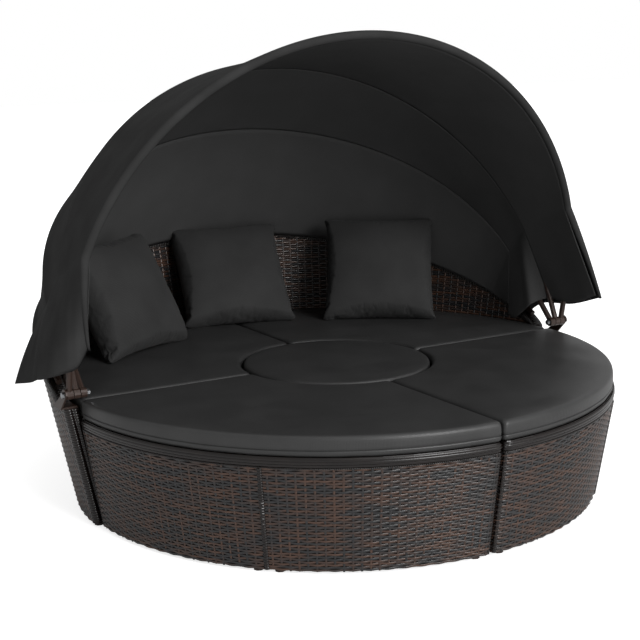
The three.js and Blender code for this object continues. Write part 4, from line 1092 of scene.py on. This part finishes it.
def rear_panel():
    """Cloth from the third hoop down over the fixed tube, with a short valance outside the rail."""
    top_line, angles = rear_line(CLOTH_OFFSET, REAR_HEM), rear_angles()
    swing = np.zeros(len(angles))
    swing[:SKIRT] = 0.016 * (1 - SKIRT_SHARE)
    swing[-SKIRT:] = swing[:SKIRT][::-1]
    top = back_top(angles)
    middle = back_inner(top) + BACK_THICKNESS / 2 + swing
    diagonal = (HOOP_RADIUS + TUBE_GAP) * math.sqrt(0.5)
    over = about(angles, middle + diagonal, top + TUBE_LIFT + diagonal)
    shoulder = about(angles, middle + BACK_THICKNESS / 2 + 0.0112, top + TUBE_LIFT * 0.8)
    hem_z = top - VALANCE
    ripple = 0.003 * np.sin(angles * 46) + 0.002 * np.sin(angles * 71 + 1)
    below = about(angles, back_inner(hem_z) + BACK_THICKNESS + VALANCE_GAP + swing + ripple, hem_z)
    rows = falling(top_line, over, 0.006, 5)
    rows += [over + (shoulder - over) * share for share in (0.25, 0.6, 1.0)]
    rows += [shoulder + (below - shoulder) * share for share in (0.25, 0.5, 0.75, 0.93, 1.0)]
    return np.array(rows)


def rear_lining():
    """The lining, drawn lighter as painted light, from the third hoop straight down to the rail's inner edge.
    """
    top_line, angles = rear_line(-CLOTH_OFFSET, REAR_LINING_HEM), rear_angles()
    top = back_top(angles)
    inner = back_inner(top) + BACK_THICKNESS / 2 - LINING_INSET + 0.0007 * np.sin(angles * 57)
    return np.array(falling(top_line, about(angles, inner, top + TUBE_LIFT - 0.0265), 0.003, 6))


def declare_cloth(made, rows):
    """Prints a panel's width between its hoops, its length over them, and its area, all laid flat."""
    down, across = np.diff(rows, axis=0), np.diff(rows, axis=1)
    width = round(float(np.linalg.norm(down, axis=2).sum(axis=0).max()), 3)
    length = round(float(np.linalg.norm(across, axis=2).sum(axis=1).max()), 3)
    area = round(float(np.linalg.norm(np.cross(down[:, :-1], across[:-1]), axis=2).sum()), 3)
    area = min(area, width * length)
    print(f"{made.name}: flat {width} x {length} m, area {area} m2")


def blend_between(made):
    """Works the cloth's place into its mesh."""
    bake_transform(made)


# Operators

class DAYBED_OT_stage(bpy.types.Operator):
    """Camera, floor, lights and white surroundings"""
    bl_idname = "daybed.stage"
    bl_label = "Stage"
    bl_options = {"REGISTER", "UNDO"}

    def execute(self, context):
        scene, settings = context.scene, context.scene.daybed_stage
        scene.view_settings.view_transform = "Standard"
        self.camera(scene)
        self.floor(settings)
        self.world(scene, settings)
        lights = (("Key", settings.key, 24, (0.14, -0.90, 0.42)),
                  ("Fill", settings.fill, 60, (0.30, -0.94, 0.14)),
                  ("Top", settings.top, 50, (0.2, -0.45, 0.87)))
        for name, energy, spread, way in lights:
            lamp = bpy.data.lights.new(name, "SUN")
            lamp.energy = energy
            lamp.angle = math.radians(spread)
            holder = bpy.data.objects.new(name, lamp)
            holder.location = Vector(way) * 6
            holder.rotation_euler = Vector(way).to_track_quat("Z", "Y").to_euler()
            scene.collection.objects.link(holder)
        return {"FINISHED"}

    def camera(self, scene):
        """The photograph's own view: 81 mm lens, 14 degrees down, from the bed's left front."""
        azimuth, elevation, roll = (math.radians(a) for a in (-31.1, 14.17, -0.78))
        aim, distance = Vector((0, 0, 0.3227)), 4.411
        back = Vector((math.sin(azimuth) * math.cos(elevation), -math.cos(azimuth) * math.cos(elevation),
                       math.sin(elevation)))
        right = Vector((math.cos(azimuth), math.sin(azimuth), 0.0))
        up = right.cross(-back)
        right, up = (math.cos(roll) * right + math.sin(roll) * up,
                     math.cos(roll) * up - math.sin(roll) * right)
        place = Vector(BED) + aim + back * distance
        data = bpy.data.cameras.new("Camera")
        data.lens = 81.03
        data.shift_x = -0.0264
        data.shift_y = 0.0938
        camera = bpy.data.objects.new("Camera", data)
        camera.matrix_world = Matrix((
            (right.x, up.x, back.x, place.x), (right.y, up.y, back.y, place.y),
            (right.z, up.z, back.z, place.z), (0, 0, 0, 1)))
        scene.collection.objects.link(camera)
        scene.camera = camera

    def floor(self, settings):
        """A wide white floor. What the camera sees of it is lifted to white, and the shadow stays."""
        made = new_object("Floor", [(-20, -20, 0), (20, -20, 0), (20, 20, 0), (-20, 20, 0)], [(0, 1, 2, 3)])
        surface, tree, principled = shader("White studio floor", 1.0)
        principled.inputs["Base Color"].default_value = rgba(settings.floor)
        seen = add_node(tree, "ShaderNodeLightPath").outputs["Is Camera Ray"]
        glow = add_node(tree, "ShaderNodeEmission", {"Strength": maths(tree, "MULTIPLY", seen, 0.75)})
        both = add_node(tree, "ShaderNodeAddShader", {0: principled.outputs[0], 1: glow.outputs[0]})
        tree.links.new(both.outputs[0], tree.nodes["Material Output"].inputs["Surface"])
        made.data.materials.append(surface)

    def world(self, scene, settings):
        """White as the camera and gloss see it, and an even light for the rest."""
        world = bpy.data.worlds.new("White studio")
        scene.world = world
        world.use_nodes = True
        tree = world.node_tree
        light = tree.nodes["Background"]
        light.inputs["Color"].default_value = (1, 1, 1, 1)
        path = add_node(tree, "ShaderNodeLightPath").outputs
        mirrored = maths(tree, "MULTIPLY", path["Is Glossy Ray"], 0.5)
        seen = maths(tree, "MAXIMUM", path["Is Camera Ray"], mirrored)
        strength = maths(tree, "MAXIMUM", seen, settings.ambient)
        tree.links.new(strength, light.inputs["Strength"])


class DAYBED_OT_metalwork(bpy.types.Operator):
    """Powder coat, plating, webbing and backing on the CAD pieces that stay in view"""
    bl_idname = "daybed.metalwork"
    bl_label = "Metalwork and backing"
    bl_options = {"REGISTER", "UNDO"}
    finishes = (
        # Painted shade: the skins and the drum are drawn near-black to stand for the shade behind the woven
        # strands.
        (("skin", "drum"), "Shadowed weave backing", "wicker"),
        (("rim_band", "top_rail", "arm_trim"), WRAPPED, "wrapped_wicker"),
        (("deck",), "Deck webbing", "deck_weave"),
        (("bolt", "nut", "clip"), "Zinc plate", "zinc"),
        (("frame", "hoop", "tube", "bracket"), "Brown powder coat", "steel"),
    )

    def execute(self, context):
        for name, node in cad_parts.items():
            for words, material_name, _ in self.finishes:
                if any(word in name for word in words):
                    for slot in node.material_slots:
                        slot.material = material(material_name)
                    break
        return {"FINISHED"}


class DAYBED_OT_weave(bpy.types.Operator):
    """Woven sides of the sofa, its backrest, the two quarter ottomans and the centre drum"""
    bl_idname = "daybed.weave"
    bl_label = "Woven faces"
    bl_options = {"REGISTER", "UNDO"}

    def execute(self, context):
        for body in MODULES:
            pieces = module_pieces(body)
        data = bpy.data.cameras.new("Camera")
        data.lens = 81.03
        data.shift_x = -0.0264
        data.shift_y = 0.0938
        camera = bpy.data.objects.new("Camera", data)
        camera.matrix_world = Matrix((
            (right.x, up.x, back.x, place.x), (right.y, up.y, back.y, place.y),
            (right.z, up.z, back.z, place.z), (0, 0, 0, 1)))
        scene.collection.objects.link(camera)
        scene.camera = camera

    def floor(self, settings):
        """A wide white floor. What the camera sees of it is lifted to white, and the shadow stays."""
        made = new_object("Floor", [(-20, -20, 0), (20, -20, 0), (20, 20, 0), (-20, 20, 0)], [(0, 1, 2, 3)])
        surface, tree, principled = shader("White studio floor", 1.0)
        principled.inputs["Base Color"].default_value = rgba(settings.floor)
        seen = add_node(tree, "ShaderNodeLightPath").outputs["Is Camera Ray"]
        glow = add_node(tree, "ShaderNodeEmission", {"Strength": maths(tree, "MULTIPLY", seen, 0.75)})
        both = add_node(tree, "ShaderNodeAddShader", {0: principled.outputs[0], 1: glow.outputs[0]})
        tree.links.new(both.outputs[0], tree.nodes["Material Output"].inputs["Surface"])
        made.data.materials.append(surface)

    def world(self, scene, settings):
        """White as the camera and gloss see it, and an even light for the rest."""
        world = bpy.data.worlds.new("White studio")
        scene.world = world
        world.use_nodes = True
        tree = world.node_tree
        light = tree.nodes["Background"]
        light.inputs["Color"].default_value = (1, 1, 1, 1)
        path = add_node(tree, "ShaderNodeLightPath").outputs
        mirrored = maths(tree, "MULTIPLY", path["Is Glossy Ray"], 0.5)
        seen = maths(tree, "MAXIMUM", path["Is Camera Ray"], mirrored)
        strength = maths(tree, "MAXIMUM", seen, settings.ambient)
        tree.links.new(strength, light.inputs["Strength"])


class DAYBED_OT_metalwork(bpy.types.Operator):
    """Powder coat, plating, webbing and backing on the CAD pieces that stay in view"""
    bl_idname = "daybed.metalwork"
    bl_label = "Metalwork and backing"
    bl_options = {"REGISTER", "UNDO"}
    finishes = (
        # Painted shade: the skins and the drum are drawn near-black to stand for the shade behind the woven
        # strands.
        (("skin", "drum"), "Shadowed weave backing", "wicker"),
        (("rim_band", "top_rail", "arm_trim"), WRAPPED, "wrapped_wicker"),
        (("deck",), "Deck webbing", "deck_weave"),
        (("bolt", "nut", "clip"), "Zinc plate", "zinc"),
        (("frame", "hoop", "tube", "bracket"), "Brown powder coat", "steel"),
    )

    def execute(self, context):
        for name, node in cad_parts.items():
            for words, material_name, _ in self.finishes:
                if any(word in name for word in words):
                    for slot in node.material_slots:
                        slot.material = material(material_name)
                    break
        return {"FINISHED"}


class DAYBED_OT_weave(bpy.types.Operator):
    """Woven sides of the sofa, its backrest, the two quarter ottomans and the centre drum"""
    bl_idname = "daybed.weave"
    bl_label = "Woven faces"
    bl_options = {"REGISTER", "UNDO"}

    def execute(self, context):
        for body in MODULES:
            pieces = module_pieces(body)
            if body.endswith("ottoman") and body != "centre_ottoman":
                pieces += ottoman_posts(body)
            made = joined(pieces, f"{body}_strands")
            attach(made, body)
        for piece in backrest_pieces():
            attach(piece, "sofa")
        return {"FINISHED"}


class DAYBED_OT_wraps(bpy.types.Operator):
    """Wrapped top rail and arm ends"""
    bl_idname = "daybed.wraps"
    bl_label = "Wrapped rail and arms"
    bl_options = {"REGISTER", "UNDO"}

    def execute(self, context):
        made = joined([rail_wrap(), arm_wrap(False), arm_wrap(True)], "sofa_wraps")
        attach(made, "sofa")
        return {"FINISHED"}


class DAYBED_OT_cushions(bpy.types.Operator):
    """Five fitted seat cushions"""
    bl_idname = "daybed.cushions"
    bl_label = "Seat cushions"
    bl_options = {"REGISTER", "UNDO"}

    def execute(self, context):
        sofa_radius = back_inner(SEAT_BASE) - CUSHION_WALL_GAP
        quarters = (("sofa_right_cushion", "sofa", sofa_radius, 0.0),
                    ("sofa_left_cushion", "sofa", sofa_radius, math.pi / 2),
                    ("left_ottoman_cushion", "left_ottoman", CUSHION_RADIUS, math.pi),
                    ("right_ottoman_cushion", "right_ottoman", CUSHION_RADIUS, math.pi * 1.5))
        made = [(quarter_cushion(f"{node}_cover", outer, angle), node, body)
                for node, body, outer, angle in quarters]
        made.append((round_cushion("centre_cushion_cover"), "centre_cushion", "centre_ottoman"))
        for piece, node, body in made:
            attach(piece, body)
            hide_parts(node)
        return {"FINISHED"}


class DAYBED_OT_pillows(bpy.types.Operator):
    """Three loose square pillows, blown up as cloth"""
    bl_idname = "daybed.pillows"
    bl_label = "Pillows"
    bl_options = {"REGISTER", "UNDO"}

    def execute(self, context):
        for name in PILLOWS:
            made = pillow(name)
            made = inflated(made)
            dress(made, "Pillow polyester")
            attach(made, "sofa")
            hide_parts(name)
        return {"FINISHED"}


class DAYBED_OT_canopy(bpy.types.Operator):
    """Three sewn panels of canopy cloth with their hoop sleeves"""
    bl_idname = "daybed.canopy"
    bl_label = "Canopy cloth"
    bl_options = {"REGISTER", "UNDO"}

    def execute(self, context):
        inside = -CLOTH_OFFSET
        panels = {
            "front": hoop_panel("front", 0.006, 40, 0.004, sleeve=True),
            "middle": hoop_panel("middle", 0.005, 30, 0.003),
            "rear": rear_panel(),
            "front lining": hoop_panel("front lining", 0.004, 40, -0.008, inside),
            "middle lining": hoop_panel("middle lining", 0.002, 36, -0.005, inside),
            "rear lining": rear_lining()}
        for name, rows in panels.items():
            # Painted light: the linings take the lighter cloth, to stand for the light that falls inside the
            # canopy.
            cloth = "Canopy lining polyester" if "lining" in name else "Canopy polyester"
            made = solid_sheet(f"canopy_{name}".replace(" ", "_"), rows, cloth)
            if "lining" not in name:
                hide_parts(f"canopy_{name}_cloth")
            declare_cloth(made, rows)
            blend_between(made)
        return {"FINISHED"}


class DAYBED_PT_panel(bpy.types.Panel):
    """Sizes and colours of the bed, and a button for each group of pieces"""
    bl_idname = "DAYBED_PT_panel"
    bl_label = "Round wicker daybed"
    bl_space_type = "VIEW_3D"
    bl_region_type = "UI"
    bl_category = "Daybed"

    def draw(self, context):
        for group in ("daybed_wicker", "daybed_fabric", "daybed_metal", "daybed_stage"):
            settings = getattr(context.scene, group)
            column = self.layout.column(align=True)
            for key in settings.bl_rna.properties.keys():
                if key not in ("rna_type", "name"):
                    column.prop(settings, key)
        for operator in OPERATORS:
            self.layout.operator(operator.bl_idname)


GROUPS = {"daybed_wicker": DaybedWicker, "daybed_fabric": DaybedFabric, "daybed_metal": DaybedMetal,
          "daybed_stage": DaybedStage}
OPERATORS = (DAYBED_OT_stage, DAYBED_OT_metalwork, DAYBED_OT_weave, DAYBED_OT_wraps, DAYBED_OT_cushions,
             DAYBED_OT_pillows, DAYBED_OT_canopy)


def register():
    for key, group in GROUPS.items():
        bpy.utils.register_class(group)
        setattr(bpy.types.Scene, key, bpy.props.PointerProperty(type=group))
    for operator in OPERATORS:
        bpy.utils.register_class(operator)
    bpy.utils.register_class(DAYBED_PT_panel)


def unregister():
    bpy.utils.unregister_class(DAYBED_PT_panel)
    for operator in reversed(OPERATORS):
        bpy.utils.unregister_class(operator)
    for key, group in GROUPS.items():
        delattr(bpy.types.Scene, key)
        bpy.utils.unregister_class(group)


def main():
    register()
    for step in ("stage", "metalwork", "weave", "wraps", "cushions", "pillows", "canopy"):
        getattr(bpy.ops.daybed, step)()


if __name__ == "__main__":
    main()
